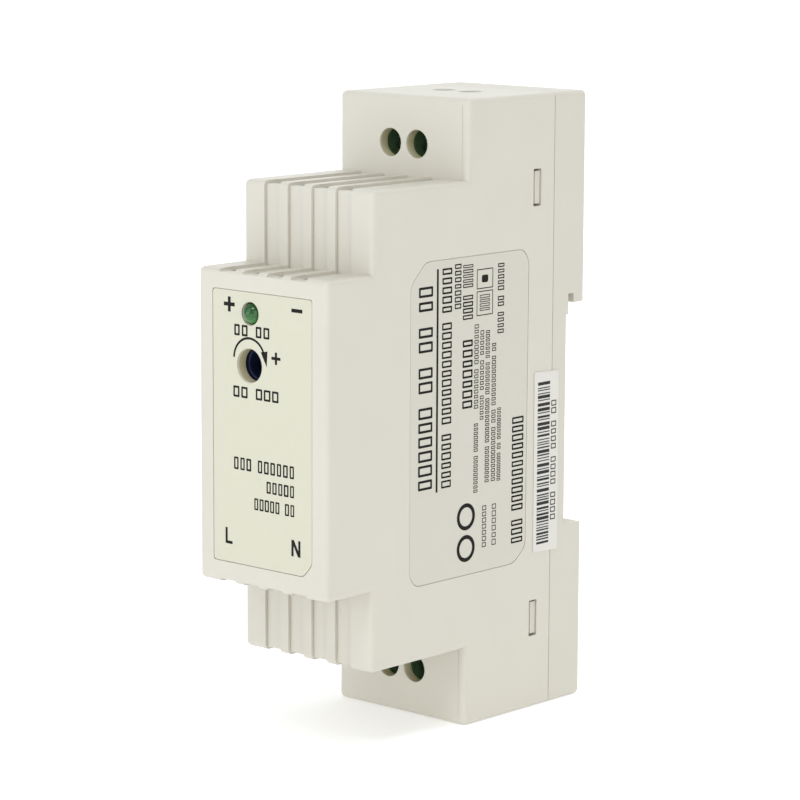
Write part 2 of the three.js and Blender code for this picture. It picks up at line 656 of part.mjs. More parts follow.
add('trimmer_body', trimmerBody(), COLOURS.trimmer);
add('trimmer_rotor', trimmerRotor(), COLOURS.rotor);

export default assembly;
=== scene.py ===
"""Looks of a narrow DIN rail power supply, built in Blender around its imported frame.

Sizes in the classes are millimetres in the case's own frame: x = 0 at mid width, y = 0 at the front
panel and z = 0 at the underside. CaseFrame carries them into the row's frame, in metres.
"""
import json
import logging
import math
import random
from dataclasses import dataclass, field
from enum import Enum
from typing import Any, Callable, Mapping, Optional, Sequence, Union

import bmesh
import bpy
from mathutils import Matrix, Vector

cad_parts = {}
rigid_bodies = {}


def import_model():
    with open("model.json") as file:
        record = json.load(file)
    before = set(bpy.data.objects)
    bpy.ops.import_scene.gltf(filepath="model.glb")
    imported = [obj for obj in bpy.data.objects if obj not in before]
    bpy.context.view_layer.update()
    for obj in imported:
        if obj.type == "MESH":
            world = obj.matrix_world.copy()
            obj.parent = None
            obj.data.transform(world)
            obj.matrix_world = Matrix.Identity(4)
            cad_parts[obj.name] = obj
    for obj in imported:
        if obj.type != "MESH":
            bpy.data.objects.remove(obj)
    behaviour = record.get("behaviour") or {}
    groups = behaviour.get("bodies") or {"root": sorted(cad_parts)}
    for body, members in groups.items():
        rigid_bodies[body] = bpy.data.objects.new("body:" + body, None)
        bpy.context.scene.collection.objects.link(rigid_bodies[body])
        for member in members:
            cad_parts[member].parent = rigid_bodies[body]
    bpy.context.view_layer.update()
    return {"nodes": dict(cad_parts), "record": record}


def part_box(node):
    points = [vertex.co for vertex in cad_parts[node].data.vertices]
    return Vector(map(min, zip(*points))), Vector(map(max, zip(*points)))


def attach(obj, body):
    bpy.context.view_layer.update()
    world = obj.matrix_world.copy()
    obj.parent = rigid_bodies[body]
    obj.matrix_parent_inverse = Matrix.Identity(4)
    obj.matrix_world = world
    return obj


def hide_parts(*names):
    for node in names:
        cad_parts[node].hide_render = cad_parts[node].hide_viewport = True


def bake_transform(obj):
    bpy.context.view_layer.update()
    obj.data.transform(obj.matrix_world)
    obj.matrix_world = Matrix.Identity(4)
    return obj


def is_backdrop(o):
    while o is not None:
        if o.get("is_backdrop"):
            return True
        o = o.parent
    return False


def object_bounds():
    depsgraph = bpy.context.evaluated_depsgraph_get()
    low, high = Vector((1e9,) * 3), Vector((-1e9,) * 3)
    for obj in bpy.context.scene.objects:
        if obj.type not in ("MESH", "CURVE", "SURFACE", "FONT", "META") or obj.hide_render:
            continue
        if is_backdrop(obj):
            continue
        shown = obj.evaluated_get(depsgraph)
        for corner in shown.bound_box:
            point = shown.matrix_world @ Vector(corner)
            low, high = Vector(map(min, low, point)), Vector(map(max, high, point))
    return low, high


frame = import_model()

MM = 0.001
MICRON = 0.000001
BEYOND = 20.0  # case millimetres that put a cutting tool clear of both sides
PAST_END = 5.0  # how far a cutting tool runs past the top and the underside
GLUE = 0.02  # case millimetres of glue under a film
Span = tuple[float, float]
Point2 = tuple[float, float]
Colour = tuple[float, float, float]
log = logging.getLogger("power_supply")


# ---- frame ---------------------------------------------------------------------------------------
@dataclass(frozen=True)
class CaseFrame:
    """Carries case millimetres into the row's frame in metres.

    The front cover's packed box gives the place of the front panel and of the underside.
    """

    front: float
    under: float

    @classmethod
    def from_cover(cls) -> "CaseFrame":
        """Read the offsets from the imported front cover."""
        low, _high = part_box("front_cover")
        return cls(front=low[1], under=low[2])

    def matrix(self) -> Matrix:
        """The transform from case millimetres to row metres."""
        return Matrix.Translation((0.0, self.front, self.under)) @ Matrix.Scale(MM, 4)

    def point(self, x: float, y: float, z: float) -> Vector:
        """One case point in the row's frame."""
        return self.matrix() @ Vector((x, y, z))

    def box(self, node: str) -> list[Vector]:
        """A CAD node's lowest and highest corners in case millimetres."""
        return [self.matrix().inverted() @ Vector(corner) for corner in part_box(node)]


CASE = CaseFrame.from_cover()


class Axis(Enum):
    """A direction that a turned or extruded shape runs along."""

    X = "x"
    Y = "y"
    Z = "z"


class Operation(Enum):
    """What a boolean does."""

    CUT = "DIFFERENCE"
    JOIN = "UNION"


# ---- outlines ------------------------------------------------------------------------------------
def arc(centre: Point2, radius: float, start: float, end: float, steps: int = 5) -> list[Point2]:
    """Points along an arc.

    Args:
        centre: The arc's centre.
        radius: Its radius.
        start: First angle in degrees.
        end: Last angle in degrees.
        steps: Number of straight pieces.

    Returns:
        The points from start to end.
    """
    angles = [math.radians(start + (end - start) * i / steps) for i in range(steps + 1)]
    return [(centre[0] + radius * math.cos(a), centre[1] + radius * math.sin(a)) for a in angles]


def rounded(corners: Sequence[Point2], radius: float, steps: int = 4) -> list[Point2]:
    """Round every corner of a closed outline.

    Args:
        corners: The sharp outline.
        radius: The corner radius, cut down where a side is short.
        steps: Number of straight pieces in each corner.

    Returns:
        The outline with a curve in place of each corner.
    """
    out: list[Point2] = []
    count = len(corners)
    for i, corner in enumerate(corners):
        here = Vector(corner)
        before = Vector(corners[i - 1]) - here
        after = Vector(corners[(i + 1) % count]) - here
        reach = min(radius, before.length * 0.45, after.length * 0.45)
        start = here + before.normalized() * reach
        end = here + after.normalized() * reach
        for k in range(steps + 1):
            t = k / steps
            bend = start * (1 - t) ** 2 + here * (2 * t * (1 - t)) + end * t**2
            out.append((bend.x, bend.y))
    return out


def rectangle(u: Span, v: Span) -> list[Point2]:
    """The four corners of a rectangle."""
    return [(u[0], v[0]), (u[1], v[0]), (u[1], v[1]), (u[0], v[1])]


def mirrored(span: Span) -> Span:
    """A range on the other side of zero."""
    return (-span[1], -span[0])


def around(middle: float, half: float) -> Span:
    """A range that reaches half to each side of its middle."""
    return (middle - half, middle + half)


def circle(centre: Point2, radius: float, steps: int = 48) -> list[Point2]:
    """A closed circle without its doubled last point."""
    return arc(centre, radius, 0, 360, steps)[:-1]


# ---- solid forms ---------------------------------------------------------------------------------
def linked(name: str, data: Optional[bpy.types.ID]) -> bpy.types.Object:
    """Make an object and put it in the scene.

    Args:
        name: Its name.
        data: Its mesh, curve, light or camera.

    Returns:
        The object.
    """
    obj = bpy.data.objects.new(name, data)
    bpy.context.scene.collection.objects.link(obj)
    return obj


class Form:
    """A closed mesh under construction, in case millimetres."""

    def __init__(self, mesh: bpy.types.Mesh) -> None:
        """Hold a mesh that nothing else uses."""
        self.mesh = mesh

    @classmethod
    def from_bmesh(cls, bm: bmesh.types.BMesh) -> "Form":
        """Take the geometry of a bmesh and free it.

        Args:
            bm: The mesh to take.

        Returns:
            Its geometry as a form.
        """
        bmesh.ops.recalc_face_normals(bm, faces=bm.faces)
        mesh = bpy.data.meshes.new("form")
        bm.to_mesh(mesh)
        bm.free()
        return cls(mesh)

    @classmethod
    def block(cls, x: Span, y: Span, z: Span, radius: float = 0.0, steps: int = 4) -> "Form":
        """A box with every edge rounded.

        Args:
            x: Range across.
            y: Range in depth.
            z: Range in height.
            radius: Edge radius, or 0 for sharp edges.
            steps: Segments in each rounded edge.

        Returns:
            The box as a form.
        """
        bm = bmesh.new()
        bmesh.ops.create_cube(bm, size=1.0)
        for vert in bm.verts:
            vert.co = Vector((
                x[0] if vert.co.x < 0 else x[1],
                y[0] if vert.co.y < 0 else y[1],
                z[0] if vert.co.z < 0 else z[1],
            ))
        if radius > 0:
            bmesh.ops.bevel(
                bm, geom=list(bm.edges), offset=radius, segments=steps, profile=0.5, affect="EDGES"
            )
        return cls.from_bmesh(bm)

    @classmethod
    def turned(
        cls, profile: Sequence[Point2], axis: Axis, centre: Point2, steps: int = 48
    ) -> "Form":
        """A solid of revolution.

        Args:
            profile: Pairs of radius and distance along the axis; it starts and ends on the axis,
                or closes on itself for a ring.
            axis: The axis it turns about.
            centre: Where the axis passes, as the other two coordinates in x, y, z order.
            steps: Segments round the axis.

        Returns:
            The turned form.
        """
        bm = bmesh.new()
        ring_open = profile[0][0] > 1e-6
        rings: list[list[bmesh.types.BMVert]] = []
        for radius, along in profile:
            if radius < 1e-6:
                rings.append([bm.verts.new(cls._place(axis, centre, 0.0, 0.0, along))])
                continue
            rings.append([
                bm.verts.new(cls._place(
                    axis,
                    centre,
                    radius * math.cos(2 * math.pi * k / steps),
                    radius * math.sin(2 * math.pi * k / steps),
                    along,
                ))
                for k in range(steps)
            ])
        pairs = list(zip(rings, rings[1:]))
        if ring_open:
            pairs.append((rings[-1], rings[0]))
        for low, high in pairs:
            for k in range(steps):
                n = (k + 1) % steps
                if len(low) == 1 and len(high) == 1:
                    continue
                if len(low) == 1:
                    bm.faces.new((low[0], high[n], high[k]))
                elif len(high) == 1:
                    bm.faces.new((low[k], low[n], high[0]))
                else:
                    bm.faces.new((low[k], low[n], high[n], high[k]))
        return cls.from_bmesh(bm)

    @staticmethod
    def _place(axis: Axis, centre: Point2, u: float, v: float, along: float) -> Vector:
        """Put a point of a section at its place about the axis.

        Args:
            axis: The axis the section lies across.
            centre: The axis's place in its plane.
            u: First coordinate in the section.
            v: Second coordinate in the section.
            along: Place along the axis.

        Returns:
            The point in case millimetres.
        """
        if axis is Axis.X:
            return Vector((along, centre[0] + u, centre[1] + v))
        if axis is Axis.Y:
            return Vector((centre[0] + u, along, centre[1] + v))
        return Vector((centre[0] + u, centre[1] + v, along))

    @classmethod
    def prism(
        cls, outline: Sequence[Point2], axis: Axis, span: Span, radius: float = 0.0, steps: int = 2
    ) -> "Form":
        """An outline carried along an axis.

        Args:
            outline: Corners as the other two coordinates in x, y, z order.
            axis: The direction it is carried.
            span: Where it starts and ends.
            radius: Rounding of the edges at both ends.
            steps: Segments in that rounding.

        Returns:
            The prism.
        """
        bm = bmesh.new()
        near = [bm.verts.new(cls._place(axis, (0.0, 0.0), u, v, span[0])) for u, v in outline]
        far = [bm.verts.new(cls._place(axis, (0.0, 0.0), u, v, span[1])) for u, v in outline]
        ends = [bm.faces.new(near), bm.faces.new(list(reversed(far)))]
        count = len(outline)
        for k in range(count):
            n = (k + 1) % count
            bm.faces.new((near[k], far[k], far[n], near[n]))
        if radius > 0:
            rims = list({edge for face in ends for edge in face.edges})
            bmesh.ops.bevel(
                bm, geom=rims, offset=radius, segments=steps, profile=0.5, affect="EDGES"
            )
        return cls.from_bmesh(bm)

    @classmethod
    def cylinder(
        cls, axis: Axis, centre: Point2, radius: float, span: Span, rim: float = 0.0, steps: int = 48
    ) -> "Form":
        """A straight cylinder whose two rims are rounded by rim.

        Args:
            axis: Its axis.
            centre: The axis's place in its plane.
            radius: Its radius.
            span: Range along the axis.
            rim: Radius of the rounded rims.
            steps: Number of facets round it.

        Returns:
            The cylinder.
        """
        start, end = span
        if rim <= 0:
            profile = [(0.0, start), (radius, start), (radius, end), (0.0, end)]
        else:
            profile = [(0.0, start)]
            profile += arc((radius - rim, start + rim), rim, -90, 0, 4)
            profile += arc((radius - rim, end - rim), rim, 0, 90, 4)
            profile += [(0.0, end)]
        return cls.turned(profile, axis, centre, steps)

    @classmethod
    def wire(cls, points: Sequence[Vector], radius: float, smooth: bool = True) -> "Form":
        """A round wire along points, with closed ends.

        Args:
            points: Centre line.
            radius: Wire radius.
            smooth: Whether the line is curved between its points.

        Returns:
            The wire as a closed mesh.
        """
        curve = bpy.data.curves.new("wire", "CURVE")
        curve.dimensions = "3D"
        curve.bevel_depth = radius
        curve.bevel_resolution = 3
        curve.use_fill_caps = True
        spline = curve.splines.new("NURBS" if smooth else "POLY")
        spline.points.add(len(points) - 1)
        for target, point in zip(spline.points, points):
            target.co = (*point, 1.0)
        if smooth:
            spline.use_endpoint_u = True
            spline.order_u = 3
            spline.resolution_u = 3
        holder = linked("wire", curve)
        graph = bpy.context.evaluated_depsgraph_get()
        mesh = bpy.data.meshes.new_from_object(holder.evaluated_get(graph))
        bpy.data.objects.remove(holder)
        bm = bmesh.new()
        bm.from_mesh(mesh)
        bmesh.ops.remove_doubles(bm, verts=bm.verts, dist=1e-5)
        return cls.from_bmesh(bm)

    def flipped(self, height: float) -> "Form":
        """The mirror image about the middle of the case's height.

        Args:
            height: The case's full height.

        Returns:
            The mirrored form.
        """
        mesh = self.mesh.copy()
        mesh.transform(Matrix.Translation((0, 0, height)) @ Matrix.Diagonal((1, 1, -1, 1)))
        mesh.flip_normals()
        return Form(mesh)

    def combined(self, operation: Operation, others: Sequence["Form"]) -> "Form":
        """Join other forms to this one, or cut them out of it.

        Args:
            operation: What to do.
            others: The forms used as tools, all at once.

        Returns:
            The resulting closed form.
        """
        host = linked("host", self.mesh)
        tools = bpy.data.collections.new("tools")
        bpy.context.scene.collection.children.link(tools)
        for other in others:
            tools.objects.link(bpy.data.objects.new("tool", other.mesh))
        modifier = host.modifiers.new("combine", "BOOLEAN")
        modifier.operation = operation.value
        modifier.operand_type = "COLLECTION"
        modifier.collection = tools
        modifier.solver = "MANIFOLD"
        graph = bpy.context.evaluated_depsgraph_get()
        mesh = bpy.data.meshes.new_from_object(host.evaluated_get(graph))
        for tool in list(tools.objects):
            bpy.data.objects.remove(tool)
        bpy.data.collections.remove(tools)
        bpy.data.objects.remove(host)
        return Form(mesh)

    def cut(self, *others: "Form") -> "Form":
        """This form less the others."""
        return self.combined(Operation.CUT, others)

    def join(self, *others: "Form") -> "Form":
        """This form with the others."""
        return self.combined(Operation.JOIN, others)

    def beside(self, *others: "Form") -> "Form":
        """This form and others that don't touch it, as one mesh.

        Args:
            *others: Forms that are clear of this one and of each other.

        Returns:
            All of them as one form.
        """
        bm = bmesh.new()
        bm.from_mesh(self.mesh)
        for other in others:
            bm.from_mesh(other.mesh)
        mesh = bpy.data.meshes.new("form")
        bm.to_mesh(mesh)
        bm.free()
        return Form(mesh)


# ---- shader maths --------------------------------------------------------------------------------
Input = Union["Value", float, int, tuple, bpy.types.NodeSocket]


class Value:
    """An output socket that builds Math nodes when it is used in an expression."""

    def __init__(self, shader: "Shader", socket: bpy.types.NodeSocket) -> None:
        """Wrap a socket of the shader's tree."""
        self.shader = shader
        self.socket = socket

    def _math(self, operation: str, *values: Input, clamp: bool = False) -> "Value":
        """Add a Math node."""
        settings = {"operation": operation, "use_clamp": clamp}
        return self.shader.node("ShaderNodeMath", settings, dict(enumerate(values)))

    def __add__(self, other: Input) -> "Value":
        """Sum."""
        return self._math("ADD", self, other)

    __radd__ = __add__

    def __sub__(self, other: Input) -> "Value":
        """Difference."""
        return self._math("SUBTRACT", self, other)

    def __rsub__(self, other: Input) -> "Value":
        """Difference from a number."""
        return self._math("SUBTRACT", other, self)

    def __mul__(self, other: Input) -> "Value":
        """Product."""
        return self._math("MULTIPLY", self, other)

    __rmul__ = __mul__

    def __truediv__(self, other: Input) -> "Value":
        """Quotient."""
        return self._math("DIVIDE", self, other)

    def __rtruediv__(self, other: Input) -> "Value":
        """Quotient of a number."""
        return self._math("DIVIDE", other, self)

    def __gt__(self, other: Input) -> "Value":
        """1 where this is more than other."""
        return self._math("GREATER_THAN", self, other)

    def __lt__(self, other: Input) -> "Value":
        """1 where this is less than other."""
        return self._math("LESS_THAN", self, other)

    def __pow__(self, other: Input) -> "Value":
        """Power."""
        return self._math("POWER", self, other)

    def wave(self) -> "Value":
        """Sine of this value."""
        return self._math("SINE", self)

    def clamped(self) -> "Value":
        """This value held between 0 and 1."""
        return self._math("ADD", self, 0.0, clamp=True)

    def repeat(self, period: float) -> "Value":
        """This value modulo a period."""
        return self._math("FLOORED_MODULO", self, period)

    def distance(self) -> "Value":
        """Absolute value."""
        return self._math("ABSOLUTE", self)


class Shader:
    """A material whose nodes are built from Python."""

    def __init__(self, name: str) -> None:
        """Make an empty material with one Principled surface.

        Args:
            name: The material's name.
        """
        self.material = bpy.data.materials.new(name)
        self.material.use_nodes = True
        self.tree = self.material.node_tree
        self.tree.nodes.clear()
        self.surface = self.tree.nodes.new("ShaderNodeBsdfPrincipled")
        output = self.tree.nodes.new("ShaderNodeOutputMaterial")
        self.tree.links.new(self.surface.outputs["BSDF"], output.inputs["Surface"])

    def node(
        self,
        kind: str,
        settings: Optional[Mapping[str, Any]] = None,
        inputs: Optional[Mapping[Union[str, int], Input]] = None,
        output: Union[str, int] = 0,
    ) -> Value:
        """Add a node.

        Args:
            kind: The node's type.
            settings: Its properties; "stops" gives a ramp's positions and colours.
            inputs: Values or links by socket name or number.
            output: The socket to hand back.

        Returns:
            The chosen output.
        """
        made = self.tree.nodes.new(kind)
        for key, value in (settings or {}).items():
            if key == "stops":
                self._set_stops(made, value)
            else:
                setattr(made, key, value)
        for key, value in (inputs or {}).items():
            self.feed(made.inputs[key], value)
        return Value(self, made.outputs[output])

    @staticmethod
    def _set_stops(node: bpy.types.Node, stops: Sequence[tuple[float, Colour]]) -> None:
        """Give a colour ramp its stops.

        Args:
            node: The ramp.
            stops: Place and colour of each stop, in order.
        """
        elements = node.color_ramp.elements
        while len(elements) < len(stops):
            elements.new(1.0)
        for element, (place, colour) in zip(elements, stops):
            element.position = place
            element.color = (*colour, 1.0)

    def feed(self, socket: bpy.types.NodeSocket, value: Input) -> None:
        """Link or set one input.

        Args:
            socket: The input.
            value: What it gets: a value, a colour or a number.
        """
        if isinstance(value, Value):
            self.tree.links.new(value.socket, socket)
        elif isinstance(value, bpy.types.NodeSocket):
            self.tree.links.new(value, socket)
        elif isinstance(value, tuple) and len(value) == 3 and socket.type == "RGBA":
            socket.default_value = (*value, 1.0)
        else:
            socket.default_value = value

    def place(self) -> Value:
        """The surface point in the object's own frame, in metres."""
        return self.node("ShaderNodeTexCoord", output="Object")

    def parts(self, vector: Value) -> tuple[Value, Value, Value]:
        """The three components of a vector.

        Args:
            vector: The vector.

        Returns:
            Its x, y and z.
        """
        first = self.node("ShaderNodeSeparateXYZ", inputs={0: vector})
        outputs = first.socket.node.outputs
        return tuple(Value(self, outputs[i]) for i in range(3))

    def stretch(self, vector: Value, scale: tuple[float, float, float]) -> Value:
        """A vector scaled by axis."""
        return self.node("ShaderNodeVectorMath", {"operation": "MULTIPLY"}, {0: vector, 1: scale})

    def noise(self, vector: Value, scale: float, detail: float = 2.0, roughness: float = 0.5) -> Value:
        """Smooth noise between 0 and 1; scale is in cells per metre.

        Args:
            vector: Where it is read.
            scale: Cells in a metre.
            detail: Number of finer octaves.
            roughness: Strength of the finer octaves.

        Returns:
            The noise.
        """
        return self.node(
            "ShaderNodeTexNoise",
            {"noise_dimensions": "3D"},
            {"Vector": vector, "Scale": scale, "Detail": detail, "Roughness": roughness},
            "Fac",
        )

    def speckle(self, vector: Value, scale: float) -> Value:
        """Distance to the nearest cell centre."""
        return self.node("ShaderNodeTexVoronoi", None, {"Vector": vector, "Scale": scale}, "Distance")

    def mix(self, factor: Input, first: Input, second: Input) -> Value:
        """Blend two colours.

        Args:
            factor: Share of the second colour.
            first: Colour at 0.
            second: Colour at 1.

        Returns:
            The blend.
        """
        return self.node(
            "ShaderNodeMix", {"data_type": "RGBA"}, {0: factor, 6: first, 7: second}, 2
        )

    def bump(self, height: Value, distance: float, strength: float = 1.0) -> None:
        """Raise the surface by a height map.

        Args:
            height: The map, between 0 and 1.
            distance: Height of 1 in metres.
            strength: How much of it shows.
        """
        normal = self.node(
            "ShaderNodeBump", None, {"Strength": strength, "Distance": distance, "Height": height}
        )
        self.feed(self.surface.inputs["Normal"], normal)

    def set(self, **values: Input) -> None:
        """Set the surface's sockets, with _ for a space in their names."""
        for key, value in values.items():
            self.feed(self.surface.inputs[key.replace("_", " ")], value)


def tint(colour: Colour, factor: float) -> Colour:
    """A colour made darker or lighter."""
    return tuple(min(1.0, channel * factor) for channel in colour)


# ---- finishes ------------------------------------------------------------------------------------
@dataclass(frozen=True)
class Moulding:
    """Moulded plastic with a fine spark-eroded texture and faint flow mottling."""

    name: str
    colour: Colour
    roughness: float = 0.42
    grain: float = 2600.0
    depth: float = 18 * MICRON
    mottle: float = 0.035
    gloss: float = 0.5

    def base(self, shader: Shader, place: Value) -> Value:
        """The base colour, faintly clouded where the melt flowed.

        Args:
            shader: The material being built.
            place: Position on the surface in metres.

        Returns:
            The colour.
        """
        cloud = shader.noise(place, 85.0, 3.0)
        return shader.mix(
            cloud, tint(self.colour, 1 - self.mottle), tint(self.colour, 1 + self.mottle / 2)
        )

    def material(self) -> bpy.types.Material:
        """Build the material.

        Returns:
            The finished material.
        """
        shader = Shader(self.name)
        place = shader.place()
        fine = shader.noise(place, self.grain, 4.0, 0.65)
        coarse = shader.noise(place, self.grain / 9, 2.0)
        shader.set(
            Base_Color=self.base(shader, place),
            Roughness=self.roughness + (fine - 0.5) * 0.12 + (coarse - 0.5) * 0.06,
            Specular_IOR_Level=self.gloss,
        )
        shader.bump(fine * 0.8 + coarse * 0.5, self.depth)
        return shader.material


@dataclass(frozen=True)
class HoleShade:
    """A round hole along Y whose wall gets painted shade, in case millimetres."""

    across: float
    height: float
    radius: float
    front: float


@dataclass(frozen=True)
class CoverMoulding(Moulding):
    """The cover's plastic, with painted shade inside its small holes, warmer where light bounces round
    in them.
    """

    holes: tuple[HoleShade, ...] = ()
    bounce: Colour = (0.86, 0.83, 0.60)
    mouth: float = 0.12
    fade: float = 0.4
    slack: float = 0.08

    def base(self, shader: Shader, place: Value) -> Value:
        """The base colour with painted shade on the hole walls.

        Args:
            shader: The material being built.
            place: Position on the surface in metres.

        Returns:
            The colour.
        """
        plain = super().base(shader, place)
        x, y, z = shader.parts(place)
        inside: Input = 0.0
        for hole in self.holes:
            centre = CASE.point(hole.across, hole.front, hole.height)
            radius = (hole.radius + self.slack) * MM
            reach = (x - centre.x) ** 2 + (z - centre.z) ** 2
            deep = ((y - (centre.y + self.mouth * MM)) / (self.fade * MM)).clamped()
            inside = inside + (reach < radius * radius) * deep
        # Painted shade: the hole walls take a darker, warmer copy of the base colour.
        painted_hole_shade = tuple(channel * share for channel, share in zip(self.colour, self.bounce))
        return shader.mix(inside, plain, painted_hole_shade)


@dataclass(frozen=True)
class Film:
    """Printed label film with a satin face and a trace of orange peel."""

    name: str
    colour: Colour
    roughness: float = 0.36

    def material(self) -> bpy.types.Material:
        """Build the material.

        Returns:
            The finished material.
        """
        shader = Shader(self.name)
        place = shader.place()
        peel = shader.noise(place, 900.0, 2.0)
        fibre = shader.noise(place, 5200.0, 2.0)
        shader.set(
            Base_Color=shader.mix(peel, tint(self.colour, 0.985), tint(self.colour, 1.01)),
            Roughness=self.roughness + (fibre - 0.5) * 0.08,
        )
        shader.bump(peel * 0.7 + fibre * 0.3, 8 * MICRON)
        return shader.material


@dataclass(frozen=True)
class Ink:
    """Screen printed ink, slightly uneven at the scale of the mesh."""

    name: str
    colour: Colour = (0.009, 0.0088, 0.008)

    def material(self) -> bpy.types.Material:
        """Build the material.

        Returns:
            The finished material.
        """
        shader = Shader(self.name)
        mesh = shader.noise(shader.place(), 7000.0, 2.0)
        shader.set(
            Base_Color=shader.mix(mesh, tint(self.colour, 0.7), tint(self.colour, 1.6)),
            Roughness=0.5 + mesh * 0.15,
            Specular_IOR_Level=0.12,
        )
        shader.bump(mesh, 4 * MICRON)
        return shader.material


@dataclass(frozen=True)
class Metal:
    """Plated or bare metal with fine drawing lines and scuffs."""

    name: str
    colour: Colour
    roughness: float = 0.28
    lines: tuple[float, float, float] = (900.0, 900.0, 9000.0)

    def material(self) -> bpy.types.Material:
        """Build the material.

        Returns:
            The finished material.
        """
        shader = Shader(self.name)
        place = shader.place()
        drawn = shader.noise(shader.stretch(place, self.lines), 1.0, 3.0)
        scuff = shader.noise(place, 420.0, 4.0)
        shader.set(
            Base_Color=shader.mix(scuff, tint(self.colour, 0.88), tint(self.colour, 1.06)),
            Metallic=1.0,
            Roughness=self.roughness + (drawn - 0.5) * 0.2 + (scuff - 0.5) * 0.12,
        )
        shader.bump(drawn, 4 * MICRON)
        return shader.material


@dataclass(frozen=True)
class BoardMask:
    """Circuit board laminate under green solder mask, with the weave and tracks showing through."""

    name: str
    colour: Colour = (0.022, 0.105, 0.045)
    pitch: float = 0.00254

    def material(self) -> bpy.types.Material:
        """Build the material.

        Returns:
            The finished material.
        """
        shader = Shader(self.name)
        place = shader.place()
        x, y, z = shader.parts(place)
        across = ((x + y * 0.9).repeat(self.pitch) / self.pitch - 0.5).distance()
        along = (z.repeat(self.pitch * 3) / (self.pitch * 3) - 0.5).distance()
        routed = shader.noise(shader.stretch(place, (90.0, 90.0, 260.0)), 1.0, 1.0) > 0.52
        track = (across < 0.11) * (along > 0.05) * routed
        weave = ((x + y) * 9000).wave() * (z * 9000).wave()
        cloud = shader.noise(place, 160.0, 2.0)
        base = shader.mix(cloud, tint(self.colour, 0.85), tint(self.colour, 1.15))
        shader.set(
            Base_Color=shader.mix(track, base, tint(self.colour, 1.45)),
            Roughness=0.32 + weave * 0.03,
        )
        shader.bump(track * 0.7 + weave * 0.15, 20 * MICRON)
        return shader.material


@dataclass(frozen=True)
class Sintered:
    """Dark sintered ferrite, fine and slightly porous."""

    name: str
    colour: Colour = (0.045, 0.045, 0.05)

    def material(self) -> bpy.types.Material:
        """Build the material.

        Returns:
            The finished material.
        """
        shader = Shader(self.name)
        place = shader.place()
        pores = shader.speckle(place, 3200.0)
        cloud = shader.noise(place, 700.0, 4.0)
        shader.set(
            Base_Color=shader.mix(cloud, tint(self.colour, 0.8), tint(self.colour, 1.5)),
            Roughness=0.5 + cloud * 0.2,
        )
        shader.bump(pores, 20 * MICRON)
        return shader.material


@dataclass(frozen=True)
class WoundTape:
    """Polyester tape over a winding, with lap lines across the coil."""

    name: str
    colour: Colour = (0.80, 0.60, 0.08)
    lap: float = 0.0021

    def material(self) -> bpy.types.Material:
        """Build the material.

        Returns:
            The finished material.
        """
        shader = Shader(self.name)
        place = shader.place()
        _x, y, _z = shader.parts(place)
        edge = (y.repeat(self.lap) / self.lap - 0.5).distance() > 0.46
        crease = shader.noise(shader.stretch(place, (300.0, 2400.0, 300.0)), 1.0, 3.0)
        shader.set(
            Base_Color=shader.mix(edge, self.colour, tint(self.colour, 0.72)),
            Roughness=0.25 + crease * 0.15,
        )
        shader.bump(crease * 0.6 + edge * 0.4, 30 * MICRON)
        return shader.material


@dataclass(frozen=True)
class WoundWire:
    """Enamelled copper wire laid turn by turn, with painted shade in the gaps between turns."""

    name: str
    colour: Colour = (0.62, 0.24, 0.08)
    pitch: float = 0.00045

    def material(self) -> bpy.types.Material:
        """Build the material.

        Returns:
            The finished material.
        """
        shader = Shader(self.name)
        place = shader.place()
        _x, y, _z = shader.parts(place)
        turn = (y * (2 * math.pi / self.pitch)).wave() * 0.5 + 0.5
        scuff = shader.noise(place, 900.0, 2.0)
        # Painted shade: the base colour darkens in the gaps between turns.
        shader.set(
            Base_Color=shader.mix(turn, tint(self.colour, 0.35), self.colour),
            Metallic=0.85,
            Roughness=0.25 + scuff * 0.12,
        )
        shader.bump(turn, 100 * MICRON)
        return shader.material


@dataclass(frozen=True)
class ShrinkSleeve:
    """Shiny shrink sleeve of a can capacitor, with its polarity stripe."""

    name: str
    centre: Point2
    colour: Colour = (0.012, 0.014, 0.03)
    stripe: Colour = (0.55, 0.57, 0.6)
    half_width: float = 0.0009
    dash_pitch: float = 0.004
    dash_gap: float = 0.0013

    def material(self) -> bpy.types.Material:
        """Build the material.

        Returns:
            The finished material.
        """
        shader = Shader(self.name)
        place = shader.place()
        x, y, z = shader.parts(place)
        band = ((z - self.centre[1]).distance() < self.half_width) * (x < self.centre[0])
        dash = (y.repeat(self.dash_pitch) > self.dash_gap).clamped()
        shrink = shader.noise(shader.stretch(place, (700.0, 120.0, 700.0)), 1.0, 2.0)
        marked = shader.mix(dash, tint(self.stripe, 0.35), self.stripe)
        shader.set(
            Base_Color=shader.mix(band, self.colour, marked), Roughness=0.2 + shrink * 0.14
        )
        shader.bump(shrink, 20 * MICRON)
        return shader.material


@dataclass(frozen=True)
class TintedLens:
    """Clear tinted epoxy of an indicator lamp, unlit, with painted light that makes it paler low down.
    """

    name: str
    colour: Colour = (0.010, 0.075, 0.012)
    painted_light_colour: Colour = (0.055, 0.240, 0.050)
    spread: float = 2.4

    def material(self) -> bpy.types.Material:
        """Build the material.

        Returns:
            The finished material.
        """
        shader = Shader(self.name)
        place = shader.place()
        haze = shader.noise(place, 900.0, 3.0)
        middle = CASE.point(SIZES.lamp[0], 0.0, SIZES.lamp[1])
        _x, _y, height = shader.parts(place)
        # Painted light: the lens colour pales towards the bottom.
        low = ((middle.z - height) / (self.spread * MM) + 0.42).clamped()
        body = shader.mix(haze, tint(self.colour, 0.8), tint(self.colour, 1.25))
        shader.set(
            Base_Color=shader.mix(low * low, body, self.painted_light_colour),
            Roughness=0.06 + haze * 0.05,
            Specular_IOR_Level=0.5,
            Coat_Weight=0.1,
            Coat_Roughness=0.04,
            Subsurface_Weight=0.25,
            Subsurface_Radius=(0.0004, 0.0010, 0.0005),
        )
        shader.bump(haze, 4 * MICRON)
        return shader.material


